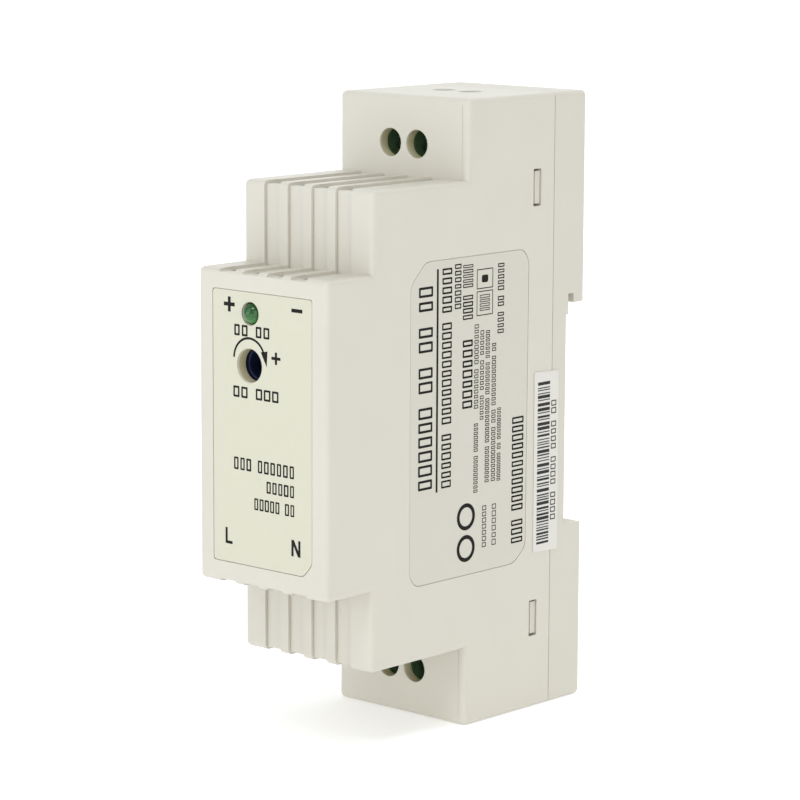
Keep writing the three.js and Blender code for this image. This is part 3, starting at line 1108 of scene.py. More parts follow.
class Palette:
    """Every finish on the object, made once."""

    def __init__(self) -> None:
        """Build the materials."""
        tool_holes = tuple(
            HoleShade(x, SIZES.at_end(side, SIZES.screw_from_end), SIZES.screw_hole, SIZES.block_y)
            for x in SIZES.pole_x
            for side in (-1, 1)
        )
        panel_holes = (
            HoleShade(*SIZES.lamp, SIZES.lamp_hole, 0.0),
            HoleShade(*SIZES.trimmer, SIZES.trimmer_hole, 0.0),
        )
        finishes = [
            CoverMoulding("case_plastic", (0.62, 0.595, 0.52), holes=tool_holes + panel_holes),
            Moulding("base_plastic", (0.61, 0.585, 0.51), roughness=0.45),
            Moulding("latch_plastic", (0.60, 0.585, 0.50), roughness=0.38, mottle=0.05),
            Film("front_film", (0.598, 0.583, 0.470)),
            Film("side_film", (0.588, 0.570, 0.495), roughness=0.42),
            Film("white_sticker", (0.675, 0.66, 0.615), roughness=0.5),
            Ink("black_ink"),
            Ink("grey_ink", (0.03, 0.03, 0.029)),
            Moulding("terminal_green", (0.045, 0.115, 0.04), roughness=0.38, mottle=0.12),
            Metal("zinc_plate", (0.66, 0.68, 0.70)),
            Metal("bright_spring", (0.58, 0.59, 0.62), roughness=0.22),
            Metal("tinned_brass", (0.70, 0.62, 0.42), roughness=0.3),
            Metal("aluminium_sheet", (0.68, 0.69, 0.71), roughness=0.34, lines=(60.0, 6000.0, 900.0)),
            Metal("solder", (0.62, 0.63, 0.65), roughness=0.2),
            BoardMask("board_mask"),
            Sintered("ferrite"),
            Moulding("bobbin_plastic", (0.03, 0.03, 0.032), roughness=0.4, mottle=0.2),
            WoundTape("winding_tape"),
            WoundWire("copper_wire"),
            Moulding("film_capacitor_case", (0.62, 0.42, 0.04), roughness=0.3, mottle=0.08),
            Moulding("ceramic_coating", (0.03, 0.10, 0.34), roughness=0.25, mottle=0.1),
            Moulding("epoxy_package", (0.022, 0.022, 0.024), roughness=0.5, mottle=0.25),
            Moulding("fuse_plastic", (0.10, 0.045, 0.02), roughness=0.35, mottle=0.1),
            Moulding("trimmer_plastic", (0.012, 0.018, 0.06), roughness=0.3, mottle=0.12),
            Moulding("rotor_plastic", (0.018, 0.03, 0.12), roughness=0.32, mottle=0.1),
            Moulding("pressed_paper", (0.55, 0.57, 0.45), roughness=0.7, mottle=0.1),
            TintedLens("lamp_lens"),
        ]
        self.materials = {finish.name: finish.material() for finish in finishes}

    def get(self, name: str) -> bpy.types.Material:
        """The material of a finish."""
        return self.materials[name]


# ---- workshop ------------------------------------------------------------------------------------
class Workshop:
    """Turns forms into dressed pieces that ride on the frame."""

    def __init__(self, palette: Palette) -> None:
        """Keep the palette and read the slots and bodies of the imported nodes.

        Args:
            palette: The finishes.
        """
        self.palette = palette
        self.slots = {part["node"]: part["material_slot"] for part in frame["record"]["subparts"]}
        self.bodies = {
            node: body
            for body, nodes in frame["record"]["behaviour"]["bodies"].items()
            for node in nodes
        }

    def piece(
        self,
        name: str,
        form: Form,
        finish: Union[str, bpy.types.Material],
        node: str,
        stands_in: bool = True,
        bevel: float = 0.0,
        smooth: float = 38.0,
        rides: bool = True,
    ) -> bpy.types.Object:
        """Make one finished piece.

        Args:
            name: The piece's name.
            form: Its shape in case millimetres.
            finish: Name of the finish, or a material of its own.
            node: The CAD node it belongs with; it rides on that node's body.
            stands_in: Whether it replaces that node.
            bevel: Width in millimetres of a fine edge bevel.
            smooth: Edges sharper than this, in degrees, stay crisp.
            rides: Whether it moves with one body; a piece that stands between two doesn't.

        Returns:
            The object.
        """
        obj = linked(name, form.mesh.copy())
        if bevel > 0:
            edges = obj.modifiers.new("edges", "BEVEL")
            edges.width = bevel
            edges.segments = 2
            edges.limit_method = "ANGLE"
            edges.angle_limit = math.radians(35)
            edges.harden_normals = False
        self._apply(obj)
        obj.data.shade_smooth()
        obj.data.set_sharp_from_angle(angle=math.radians(smooth))
        weight = obj.modifiers.new("weight", "WEIGHTED_NORMAL")
        weight.keep_sharp = True
        self._apply(obj)
        obj.data.transform(CASE.matrix())
        obj.data.materials.clear()
        material = self.palette.get(finish) if isinstance(finish, str) else finish
        obj.data.materials.append(material)
        if rides:
            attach(obj, self.bodies[node])
        if stands_in:
            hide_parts(node)
        log.info("%s: %d faces on %s", name, len(obj.data.polygons), self.bodies[node])
        return obj

    @staticmethod
    def _apply(obj: bpy.types.Object) -> None:
        """Bake an object's modifiers into its mesh.

        Args:
            obj: The object.
        """
        graph = bpy.context.evaluated_depsgraph_get()
        mesh = bpy.data.meshes.new_from_object(
            obj.evaluated_get(graph), preserve_all_data_layers=True, depsgraph=graph
        )
        obj.modifiers.clear()
        obj.data = mesh


# ---- case ----------------------------------------------------------------------------------------
@dataclass(frozen=True)
class CaseSizes:
    """Driving sizes of the stepped case."""

    half_width: float = 12.6
    height: float = 92.0
    depth: float = 56.2
    wall: float = 1.7
    edge: float = 0.8
    step_y: float = 9.2
    block_y: float = 29.4
    nose_half: float = 22.6
    step_half: float = 34.35
    seam_y: float = 48.7
    pole_x: Span = (-2.57, 2.57)
    screw_from_end: float = 7.05
    wire_y: float = 41.2
    window_y: Span = (43.9, 45.7)
    window_from_end: float = 13.7
    window_half: float = 2.75
    lamp: Point2 = (-2.3, 62.7)
    lamp_hole: float = 1.6
    trimmer: Point2 = (-2.45, 55.3)
    trimmer_hole: float = 2.38
    screw_hole: float = 2.05

    def heights(self, half: float) -> Span:
        """A range of heights centred on the case."""
        return around(self.height / 2, half)

    def across(self, inset: float = 0.0) -> Span:
        """The case's width less an inset each side."""
        return (-self.half_width + inset, self.half_width - inset)

    def from_end(self, side: int, near: float, far: float) -> Span:
        """A range of heights measured from the top end (side 1) or the bottom end (side -1)."""
        return (self.height - far, self.height - near) if side > 0 else (near, far)

    def clear(self) -> tuple[Span, Span]:
        """Ranges across and up that put a cutting tool clear of the case."""
        return (-BEYOND, BEYOND), (-PAST_END, self.height + PAST_END)

    def both_ends(self, tools: Sequence[Form]) -> list[Form]:
        """Forms and their mirror images about mid height."""
        return [form for tool in tools for form in (tool, tool.flipped(self.height))]

    def at_end(self, side: int, distance: float) -> float:
        """A height measured from the top end (side 1) or the bottom end (side -1)."""
        return self.height - distance if side > 0 else distance


SIZES = CaseSizes()


def rimmed_hole(
    axis: Axis, centre: Point2, radius: float, face: float, depth: float, rim: float = 0.14
) -> Form:
    """A cutting tool for a round hole with a rounded mouth.

    Args:
        axis: The hole's direction.
        centre: Where its axis passes.
        radius: The hole's radius.
        face: The coordinate of the face that it enters.
        depth: How far it goes, negative towards lower coordinates.
        rim: Radius of the rounded mouth.

    Returns:
        The tool.
    """
    sense = 1.0 if depth > 0 else -1.0
    mouth = [
        (radius + rim * (1 - math.sin(t)), face + sense * rim * (1 - math.cos(t)))
        for t in (math.pi / 2 * k / 5 for k in range(6))
    ]
    profile = [(0.0, face - sense * 1.5), (radius + rim, face - sense * 1.5)]
    profile += mouth + [(radius, face + depth), (0.0, face + depth)]
    return Form.turned(profile, axis, centre, 64)


@dataclass
class FrontCover:
    """The stepped moulding with its grooves, vents, tool holes and label recesses."""

    shop: Workshop
    sizes: CaseSizes = SIZES
    groove_x: tuple[float, ...] = (-6.96, -2.32, 2.32, 6.96)
    groove_width: float = 3.0
    groove_depth: float = 0.45
    slot_width: float = 2.5
    slot_length: float = 1.4
    slot_start: float = 1.3
    groove_start: float = -2.0
    wire_hole: float = 1.75
    hole_depth: float = 4.0
    panel_rim: float = 0.06
    seam_chamfer: float = 0.1
    hairline_x: float = 11.35
    hairline_half: float = 0.04
    rib_x: Span = (9.7, 11.0)
    rib_from_end: Span = (8.2, 9.2)
    backs: tuple[float, float, float] = (60.0, 58.0, 56.0)

    def stepped(self, inset: float, radius: float) -> Form:
        """The three stacked blocks, inset and rounded.

        Args:
            inset: Distance inside the outer faces.
            radius: Radius of the edges.

        Returns:
            The blocks as one form.
        """
        s = self.sizes
        fronts = (s.block_y, s.step_y, 0.0)
        halves = (s.height / 2, s.step_half, s.nose_half)
        blocks = [
            Form.block(s.across(inset), (front + inset, back), s.heights(half - inset), radius, 6)
            for front, back, half in zip(fronts, self.backs, halves)
        ]
        return blocks[0].join(*blocks[1:])

    def groove_tools(self) -> list[Form]:
        """Tools for the four grooves over each stepped shoulder and for the vents in them.

        Returns:
            Forms to cut away.
        """
        s = self.sizes
        nose_top = s.height / 2 + s.nose_half
        step_top = s.height / 2 + s.step_half
        d = self.groove_depth
        front, back, above = self.groove_start, s.block_y - 0.03, step_top + 3
        path = [
            (front, nose_top - d), (s.step_y + d, nose_top - d), (s.step_y + d, step_top - d),
            (back, step_top - d), (back, above), (front, above),
        ]
        vents = ((s.wall + 0.2, nose_top), (s.step_y + d + self.slot_start, step_top))
        tools = []
        for x in self.groove_x:
            half = self.groove_width / 2
            tools.append(Form.prism(path, Axis.X, around(x, half), 0.1, 2))
            across = around(x, self.slot_width / 2)
            for start, top in vents:
                outline = rounded(rectangle(across, (start, start + self.slot_length)), 0.35)
                tools.append(Form.prism(outline, Axis.Z, (top - 3, top + 1)))
        return s.both_ends(tools)

    def hole_tools(self) -> list[Form]:
        """Tools for the round holes and the snap windows.

        Returns:
            Forms to cut away.
        """
        s = self.sizes
        face, deep, rim = FRONT_LABEL.recess, self.hole_depth, self.panel_rim
        panel = [
            rimmed_hole(Axis.Y, place, radius, face, deep, rim)
            for place, radius in ((s.lamp, s.lamp_hole), (s.trimmer, s.trimmer_hole))
        ]
        low = []
        for x in s.pole_x:
            low += [
                rimmed_hole(Axis.Y, (x, s.screw_from_end), s.screw_hole, s.block_y, 3.0),
                rimmed_hole(Axis.Z, (x, s.wire_y), self.wire_hole, 0.0, 3.0, 0.2),
            ]
        heights = around(s.window_from_end, s.window_half)
        window = rounded(rectangle(s.window_y, heights), 0.25)
        low.append(Form.prism(window, Axis.X, (-15.0, 15.0)))
        return panel + s.both_ends(low)

    def seam_tools(self) -> list[Form]:
        """Tools that end the cover at the seam and take the sharpness off its rear edge.

        Returns:
            Forms to cut away.
        """
        s = self.sizes
        wide, tall = s.clear()
        tools = [Form.block(wide, (s.seam_y, 70), tall)]
        before, after = s.seam_y - self.seam_chamfer - 1, s.seam_y + 1
        for side in (-1, 1):
            x, z = side * s.half_width, s.at_end(side, 0.0)
            inward = side * (self.seam_chamfer + 1)
            upright = [(x + side, before), (x + side, after), (x - inward, after)]
            level = [(before, z + side), (after, z + side), (after, z - inward)]
            tools += [Form.prism(upright, Axis.Z, tall), Form.prism(level, Axis.X, wide)]
        return tools

    def hairline_tools(self) -> list[Form]:
        """Fine witness lines of the mould down the end blocks' front faces.

        Returns:
            Forms to cut away.
        """
        s = self.sizes
        across = around(self.hairline_x, self.hairline_half)
        tall = (s.height / 2 + s.step_half - 0.1, s.height - 1.0)
        return s.both_ends([Form.block(across, (s.block_y - 1, s.block_y + 0.05), tall)])

    def ribs(self) -> list[Form]:
        """Ribs on the side walls that hold the main board back.

        Returns:
            The ribs.
        """
        s = self.sizes
        return [
            Form.block(x, (s.block_y + 1, BOARDS.front_y - 0.1), s.from_end(side, *self.rib_from_end))
            for side in (-1, 1)
            for x in (mirrored(self.rib_x), self.rib_x)
        ]

    def build(self) -> None:
        """Make the cover."""
        shell = self.stepped(0.0, self.sizes.edge).cut(
            self.stepped(self.sizes.wall, 0.0),
            FRONT_LABEL.recess_tool(),
            SIDE_LABEL.recess_tool(),
            *self.groove_tools(),
            *self.hole_tools(),
            *self.seam_tools(),
            *self.hairline_tools(),
        )
        self.shop.piece("front_cover_moulding", shell.join(*self.ribs()), "case_plastic", "front_cover")


@dataclass
class RearBase:
    """The rear moulding with the rail channel, latch guide and snap tabs."""

    shop: Workshop
    sizes: CaseSizes = SIZES
    floor_y: float = 51.8
    seat_y: float = 52.3
    notch: Span = (26.7, 60.5)
    slot_top: float = 61.9
    slot_rear: float = 53.55
    gap: float = 0.04
    skin: float = 1.6
    pocket_x: Span = (8.6, 10.9)
    pad_low: float = 58.8
    guide_half: float = 6.3
    guide_y: Span = (53.45, 60)
    groove_half: float = 7.4
    groove_y: Span = (54.0, 55.2)
    groove_top: float = 24.6
    spring_half: float = 2.1
    spring_y: Span = (50.95, 54)
    spring_z: Span = (6, 18.2)
    tab_x: Span = (9.6, 10.7)
    root_x: Span = (9.6, 11.5)
    post_x: Span = (7.6, 9.4)
    tab_half: float = 2.5
    tab_front: float = 43.0
    hook: tuple[Point2, ...] = ((10.6, 43.98), (12.35, 44.5), (12.35, 45.58), (10.6, 45.58))
    mark_depth: float = 0.06
    seat_marks: tuple[Point2, ...] = ((-6.0, 33.0), (6.0, 33.0), (-6.0, 55.0), (6.0, 55.0))
    rear_marks: tuple[Point2, ...] = ((-8.0, 84.0), (8.0, 84.0), (0.0, 70.0))

    def shell(self) -> Form:
        """The hollow outer shape with its rail channel.

        Returns:
            The shell.
        """
        s = self.sizes
        inner = s.across(s.wall)
        heights = (s.wall, s.height - s.wall)
        outer = Form.block(s.across(), (30.0, s.depth), (0.0, s.height), s.edge, 6)
        low, high = self.notch
        pockets = [
            Form.block(x, (50.0, s.depth - self.skin), (s.wall, low - self.skin))
            for x in (self.pocket_x, mirrored(self.pocket_x))
        ]
        section = [
            (self.floor_y, low), (60.0, low), (60.0, high), (self.slot_rear, high),
            (self.slot_rear, self.slot_top), (self.floor_y, self.slot_top),
        ]
        wide, tall = s.clear()
        above_slot = (self.slot_top + self.skin, s.height - s.wall)
        return outer.cut(
            Form.block(wide, (20, s.seam_y + self.gap), tall),
            Form.block(inner, (40, self.floor_y - self.skin), heights),
            Form.block(inner, (50, s.depth - self.skin), above_slot),
            Form.prism(section, Axis.X, wide),
            *pockets,
        )

    def pads(self) -> list[Form]:
        """Raised faces that the rail's flanges rest on.

        Returns:
            The pads.
        """
        top = self.slot_top + 0.5
        return [
            Form.block((-9.0, 9.0), (51.0, self.seat_y), (self.notch[0] - 0.5, top)),
            Form.block(self.sizes.across(), (51.0, self.seat_y), (self.pad_low, top)),
        ]

    def guide_tools(self) -> list[Form]:
        """Tools for the latch's guide, its side grooves and the spring pocket.

        Returns:
            Forms to cut away.
        """
        return [
            Form.block(around(0.0, self.guide_half), self.guide_y, (-1, self.notch[0] + 1)),
            Form.block(around(0.0, self.groove_half), self.groove_y, (-1, self.groove_top)),
            Form.block(around(0.0, self.spring_half), self.spring_y, self.spring_z),
        ]

    def marks(self) -> list[Form]:
        """Shallow ejector marks on the rear faces.

        Returns:
            Forms to cut away.
        """
        return [
            Form.cylinder(Axis.Y, place, radius, (face - self.mark_depth, face + 1))
            for places, radius, face in (
                (self.seat_marks, 1.3, self.seat_y), (self.rear_marks, 1.5, self.sizes.depth)
            )
            for place in places
        ]

    def tabs(self) -> list[Form]:
        """Snap tabs that click into the cover's windows, and posts under the main board.

        Returns:
            The tabs and posts.
        """
        s = self.sizes
        made = []
        for side in (-1, 1):
            tongue = around(s.at_end(side, s.window_from_end), self.tab_half)
            catch = (tongue[0] + 0.1, tongue[1] - 0.1)
            for flip in (-1, 1):
                tab, root, post = (
                    span if flip > 0 else mirrored(span)
                    for span in (self.tab_x, self.root_x, self.post_x)
                )
                hook = [(x * flip, y) for x, y in self.hook]
                made += [
                    Form.block(tab, (self.tab_front, 52.0), tongue),
                    Form.block(root, (s.seam_y + self.gap, 52.0), tongue),
                    Form.prism(hook, Axis.Z, catch),
                    Form.block(post, (BOARDS.rear_y + 0.05, 54.8), s.from_end(side, 3.6, 5.4)),
                ]
        return made

    def build(self) -> None:
        """Make the base."""
        body = self.shell().join(*self.pads()).cut(*self.guide_tools(), *self.marks())
        self.shop.piece("rear_base_moulding", body.join(*self.tabs()), "base_plastic", "rear_base")


@dataclass
class RailLatch:
    """The sliding latch behind the rail's lower flange, and its spring."""

    shop: Workshop
    plate_half: float = 6.0
    plate_y: Span = (53.6, 56.0)
    plate_z: Span = (3.0, 27.8)
    runner_half: float = 7.1
    runner_y: Span = (54.2, 55.0)
    runner_z: Span = (4.5, 24.2)
    stop_half: float = 1.8
    stop_y: Span = (51.3, 54.0)
    stop_z: Span = (15.3, 17.6)
    spring_y: float = 52.3
    spring_z: Span = (6.05, 15.1)
    coil_radius: float = 1.0
    wire_radius: float = 0.18
    turns: int = 8
    steps: int = 16
    grip_z: tuple[float, ...] = (9.0, 10.8, 12.6, 14.4)

    def build(self) -> None:
        """Make the latch."""
        plate = Form.block(around(0.0, self.plate_half), self.plate_y, self.plate_z, 0.15, 2).join(
            Form.block(around(0.0, self.runner_half), self.runner_y, self.runner_z, 0.1, 2),
            Form.block(around(0.0, self.stop_half), self.stop_y, self.stop_z, 0.1, 2),
        )
        slot = rounded(rectangle((-2.5, 2.5), (5.0, 6.8)), 0.4)
        grips = [
            Form.block((-4.5, 4.5), (55.85, 57.0), (z, z + 0.7), 0.1, 1) for z in self.grip_z
        ]
        latch = plate.cut(
            Form.prism([(54.5, 28.0), (57.0, 28.0), (57.0, 26.2)], Axis.X, (-7.0, 7.0)),
            Form.prism(slot, Axis.Y, (53.0, 57.0)),
            *grips,
        )
        self.shop.piece("rail_latch_slide", latch, "latch_plastic", "rail_latch")
        self._spring()

    def _spring(self) -> None:
        """Make the coil, which rides on neither body."""
        low, high = self.spring_z
        count = self.turns * self.steps
        start = low + self.wire_radius
        travel = high - low - 2 * self.wire_radius
        points = []
        for i in range(count + 1):
            angle = 2 * math.pi * i / self.steps
            share = i / count
            eased = share - math.sin(4 * math.pi * share) * 0.03
            points.append(Vector((
                self.coil_radius * math.cos(angle),
                self.spring_y + self.coil_radius * math.sin(angle),
                start + travel * eased,
            )))
        form = Form.wire(points, self.wire_radius)
        spring = self.shop.piece(
            "latch_return_spring", form, "bright_spring", "latch_spring", rides=False
        )
        tuple(CASE.point(0.0, self.spring_y, low))
        tuple(CASE.point(0.0, self.spring_y, high))
        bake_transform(spring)


# ---- labels --------------------------------------------------------------------------------------
@dataclass(frozen=True)
class FrontLabel:
    """The printed film on the front panel and its recess."""

    half_width: float = 9.75
    low: float = 26.5
    high: float = 65.8
    recess: float = 0.25
    film: float = 0.19
    clearance: float = 0.08

    def outline(self, inset: float) -> list[Point2]:
        """The label's outline with one cut corner, shrunk by inset.

        Args:
            inset: Distance inside the recess.

        Returns:
            Its corners in order.
        """
        x = self.half_width - inset
        z0 = self.low + inset
        z1 = self.high - inset
        corners = [(-x, z0), (x - 1.7, z0), (x, z0 + 1.9), (x, z1), (-x, z1)]
        return rounded(corners, 0.5, 4)

    def recess_tool(self) -> Form:
        """The tool that sinks the recess."""
        return Form.prism(self.outline(0.0), Axis.Y, (-1.0, self.recess))

    def film_form(self) -> Form:
        """The film with its two openings.

        Returns:
            The film.
        """
        face = self.recess - GLUE
        film = Form.prism(self.outline(0.1), Axis.Y, (face - self.film, face), 0.03, 1)
        return film.cut(*[
            Form.cylinder(Axis.Y, centre, radius + self.clearance, (-1, 1), steps=64)
            for centre, radius in (
                (SIZES.lamp, SIZES.lamp_hole), (SIZES.trimmer, SIZES.trimmer_hole)
            )
        ])


@dataclass(frozen=True)
class SideLabel:
    """The printed film on the right side and its recess with cut corners."""

    y: Span = (17.1, 43.1)
    z: Span = (22.7, 69.5)
    recess: float = 0.2
    film: float = 0.15

    def outline(self, inset: float) -> list[Point2]:
        """The label's outline, with a cut upper front corner, shrunk by inset.

        Args:
            inset: Distance inside the recess.

        Returns:
            Its corners in order.
        """
        y0, y1 = self.y[0] + inset, self.y[1] - inset
        z0, z1 = self.z[0] + inset, self.z[1] - inset
        corners = [
            (y0 + 1.3, z0), (y1 - 2.9, z0), (y1 - 0.2, z0 + 2.2), (y1, z1 - 1.8),
            (y1 - 1.2, z1), (y0 + 3.2, z1), (y0, z1 - 3.2), (y0, z0 + 1.5),
        ]
        return rounded(corners, 1.0, 4)

    def recess_tool(self) -> Form:
        """The tool that sinks the recess."""
        x = SIZES.half_width
        return Form.prism(self.outline(0.0), Axis.X, (x - self.recess, x + 1.0))

    def film_form(self) -> Form:
        """The film."""
        x = SIZES.half_width - self.recess + GLUE
        return Form.prism(self.outline(0.08), Axis.X, (x, x + self.film), 0.03, 1)


FRONT_LABEL = FrontLabel()
SIDE_LABEL = SideLabel()


class Reading(Enum):
    """Which way a printed row runs."""

    ACROSS = 0
    UP = 1


@dataclass(frozen=True)
class Row:
    """A printed row of hollow boxes that stands for wording.

    Attributes:
        u: Range along the label's first axis.
        v: Range along its second axis.
        words: Number of boxes in each word.
        weight: Stroke width of the boxes.
        seed: Seed of the boxes' slight differences.
        reading: Whether the row runs along the first or the second axis.
    """

    u: Span
    v: Span
    words: tuple[int, ...]
    weight: float
    seed: int
    reading: Reading = Reading.UP


@dataclass
class PrintedSheet:
    """Flat ink shapes gathered on one label face."""

    axis: Axis
    face: float
    lift: float = 0.012
    word_gap: float = 0.8
    shapes: list[Form] = field(default_factory=list)

    def shape(self, outline: Sequence[Point2]) -> None:
        """Print one closed outline."""
        low, high = sorted((self.face, self.face + self.lift))
        self.shapes.append(Form.prism(outline, self.axis, (low, high)))

    def bar(self, u: Span, v: Span, radius: float = 0.0) -> None:
        """Print a bar."""
        corners = rectangle(u, v)
        self.shape(rounded(corners, radius, 3) if radius > 0 else corners)

    def stroke(self, points: Sequence[Point2], width: float) -> None:
        """Print a line of even width along points.

        Args:
            points: The line's points in order.
            width: Its width.
        """
        line = [Vector(p) for p in points]
        left, right = [], []
        for i, here in enumerate(line):
            ahead = line[min(i + 1, len(line) - 1)] - line[max(i - 1, 0)]
            side = Vector((-ahead.y, ahead.x)).normalized() * (width / 2)
            left.append(tuple(here + side))
            right.append(tuple(here - side))
        self.shape(left + right[::-1])

    def plus(self, centre: Point2, size: float, width: float) -> None:
        """Print a plus sign.

        Args:
            centre: Its middle.
            size: Length of its arms from tip to tip.
            width: Stroke width.
        """
        a, w = size / 2, width / 2
        arms = [(-a, -w), (-w, -w), (-w, -a), (w, -a), (w, -w), (a, -w)]
        arms += [(-u, -v) for u, v in arms]
        self.shape([(centre[0] + u, centre[1] + v) for u, v in arms])

    def box(self, u: Span, v: Span, weight: float) -> None:
        """Print a hollow box.

        Args:
            u: Range along the label's first axis.
            v: Range along its second axis.
            weight: Stroke width.
        """
        inset = min(weight, (u[1] - u[0]) * 0.3, (v[1] - v[0]) * 0.3)
        outer = rounded(rectangle(u, v), inset * 0.45, 2)
        inner = rectangle((u[0] + inset, u[1] - inset), (v[0] + inset, v[1] - inset))
        self.ring(outer, inner)

    def ring(self, outer: Sequence[Point2], inner: Sequence[Point2]) -> None:
        """Print the band between two outlines.

        Args:
            outer: The outer outline.
            inner: The inner outline, with as many points.
        """
        low, high = sorted((self.face, self.face + self.lift))
        band = Form.prism(outer, self.axis, (low, high))
        self.shapes.append(band.cut(Form.prism(inner, self.axis, (low - 1, high + 1))))

    def row(self, row: Row) -> None:
        """Print one row of boxes.

        Args:
            row: The row.
        """
        draw = random.Random(row.seed)
        across = row.reading is Reading.ACROSS
        along, height = (row.u, row.v) if across else (row.v, row.u)
        cells = sum(row.words) + self.word_gap * (len(row.words) - 1)
        pitch = (along[1] - along[0]) / cells
        place = along[0]
        for count in row.words:
            for _ in range(count):
                width = pitch * draw.uniform(0.66, 0.82)
                run = (place + (pitch - width) / 2, place + (pitch + width) / 2)
                u, v = (run, height) if across else (height, run)
                self.box(u, v, row.weight)
                place += pitch
            place += pitch * self.word_gap

    def form(self) -> Form:
        """All the ink as one mesh."""
        return self.shapes[0].beside(*self.shapes[1:])


@dataclass
class Labels:
    """The films, the sticker over the seam and all the print."""

    shop: Workshop
    sticker_corners: tuple[Point2, ...] = ((44.6, 23.7), (50.2, 23.5), (50.1, 50.7), (44.5, 50.9))
    sticker: float = 0.1
    bars: Span = (24.8, 49.4)
    bar_seed: int = 77
    arrow_centre: Point2 = (-2.45, 56.15)
    arrow_radius: float = 3.05
    arrow_sweep: Span = (178, 24)
    arrow_head: tuple[Point2, ...] = ((-0.2, 57.45), (1.1, 57.7), (0.94, 55.45))
    arrow_plus: Point2 = (2.75, 56.85)
    output_plus: Point2 = (-6.4, 63.7)
    output_minus: tuple[Span, Span] = ((5.75, 7.85), (63.7, 64.22))
    side_rule: tuple[Span, Span] = ((22.7, 23.1), (35.9, 68.2))
    frame_u: Span = (31.4, 35.0)
    frame_v: tuple[Span, ...] = ((60.6, 64.2), (64.5, 67.4))
    ring_centres: tuple[Point2, ...] = ((29.4, 26.7), (29.4, 31.4))
    ring_radii: tuple[float, float] = (2.0, 1.4)
    front_rows: tuple[Row, ...] = (
        Row((-5.65, 1.65), (59.4, 61.0), (2, 2), 0.3, 3, Reading.ACROSS),
        Row((-5.85, 3.4), (50.6, 52.2), (2, 3), 0.3, 5, Reading.ACROSS),
        Row((-5.75, 6.4), (40.2, 42.0), (3, 6), 0.3, 7, Reading.ACROSS),
        Row((0.7, 6.4), (37.5, 39.2), (5,), 0.3, 9, Reading.ACROSS),
        Row((-1.7, 6.4), (34.8, 36.5), (5, 2), 0.3, 11, Reading.ACROSS),
    )
    side_rows: tuple[Row, ...] = (
        Row((18.9, 21.9), (36.3, 66.2), (6, 2, 2, 2), 0.36, 21),
        Row((23.9, 26.0), (36.2, 68.4), (6, 11, 5), 0.27, 22),
        Row((26.6, 28.0), (62.0, 68.7), (7,), 0.2, 23),
        Row((28.4, 30.6), (47.2, 57.6), (7,), 0.3, 24),
        Row((28.4, 30.6), (60.2, 64.0), (4,), 0.28, 25),
        Row((28.4, 30.6), (64.9, 68.4), (5,), 0.28, 26),
        Row((31.0, 31.9), (47.0, 59.5), (8, 8), 0.13, 30),
        Row((32.3, 33.1), (45.2, 58.5), (5, 6, 5), 0.13, 31),
        Row((33.5, 34.4), (35.8, 58.4), (9, 11, 8, 7), 0.13, 32),
        Row((34.9, 35.8), (35.8, 56.4), (12, 3, 11, 2), 0.13, 33),
        Row((36.2, 37.0), (35.7, 46.7), (8, 2, 9), 0.13, 34),
        Row((31.0, 31.9), (34.6, 45.0), (9, 7), 0.13, 41),
        Row((36.1, 37.5), (57.5, 68.0), (4, 2, 5), 0.18, 42),
        Row((39.6, 42.2), (25.6, 44.9), (3, 11), 0.28, 43),
        Row((32.1, 34.3), (61.2, 63.7), (4,), 0.12, 51),
        Row((35.2, 36.1), (26.2, 32.6), (6,), 0.13, 52),
        Row((33.0, 33.9), (26.2, 32.6), (7,), 0.13, 53),
    )

    def build(self) -> None:
        """Make the three labels."""
        self.shop.piece("front_label_film", FRONT_LABEL.film_form(), "front_film", "front_label")
        self.shop.piece("front_label_print", self.front_print(), "black_ink", "front_label", False)
        self.shop.piece("side_label_film", SIDE_LABEL.film_form(), "side_film", "side_label")
        self.shop.piece("side_label_print", self.side_print(), "black_ink", "side_label", False)
        x = SIZES.half_width + GLUE
        outline = rounded(self.sticker_corners, 0.3, 3)
        sticker = Form.prism(outline, Axis.X, (x, x + self.sticker), 0.02, 1)
        self.shop.piece("serial_sticker_film", sticker, "white_sticker", "serial_sticker")
        self.shop.piece(
            "serial_sticker_print", self.sticker_print(), "grey_ink", "serial_sticker", False
        )

    def front_print(self) -> Form:
        """Signs, turning arrow and blocked-out wording on the front film.

        Returns:
            The ink.
        """
        face = FRONT_LABEL.recess - GLUE - FRONT_LABEL.film
        sheet = PrintedSheet(Axis.Y, face, lift=-0.012)
        sheet.plus(self.output_plus, 2.15, 0.54)
        sheet.bar(*self.output_minus)
        sheet.stroke(arc(self.arrow_centre, self.arrow_radius, *self.arrow_sweep, 28), 0.33)
        sheet.shape(self.arrow_head)
        sheet.plus(self.arrow_plus, 1.75, 0.42)
        for row in self.front_rows:
            sheet.row(row)
        self._letters(sheet)
        return sheet.form()

    @staticmethod
    def _letters(sheet: PrintedSheet) -> None:
        """The generic line and neutral marks.

        Args:
            sheet: The sheet they are printed on.
        """
        w, low, high = 0.42, 29.2, 31.55
        left = -7.35
        sheet.shape([
            (left, low), (left + 1.4, low), (left + 1.4, low + w), (left + w, low + w),
            (left + w, high), (left, high),
        ])
        left, right = 5.7, 7.45
        slant = w * 1.35
        sheet.shape([
            (left, low), (left + w, low), (left + w, high - slant * 1.5), (right - w - 0.05, low),
            (right, low), (right, high), (right - w, high), (right - w, low + slant * 1.5),
            (left + w + 0.05, high), (left, high),
        ])

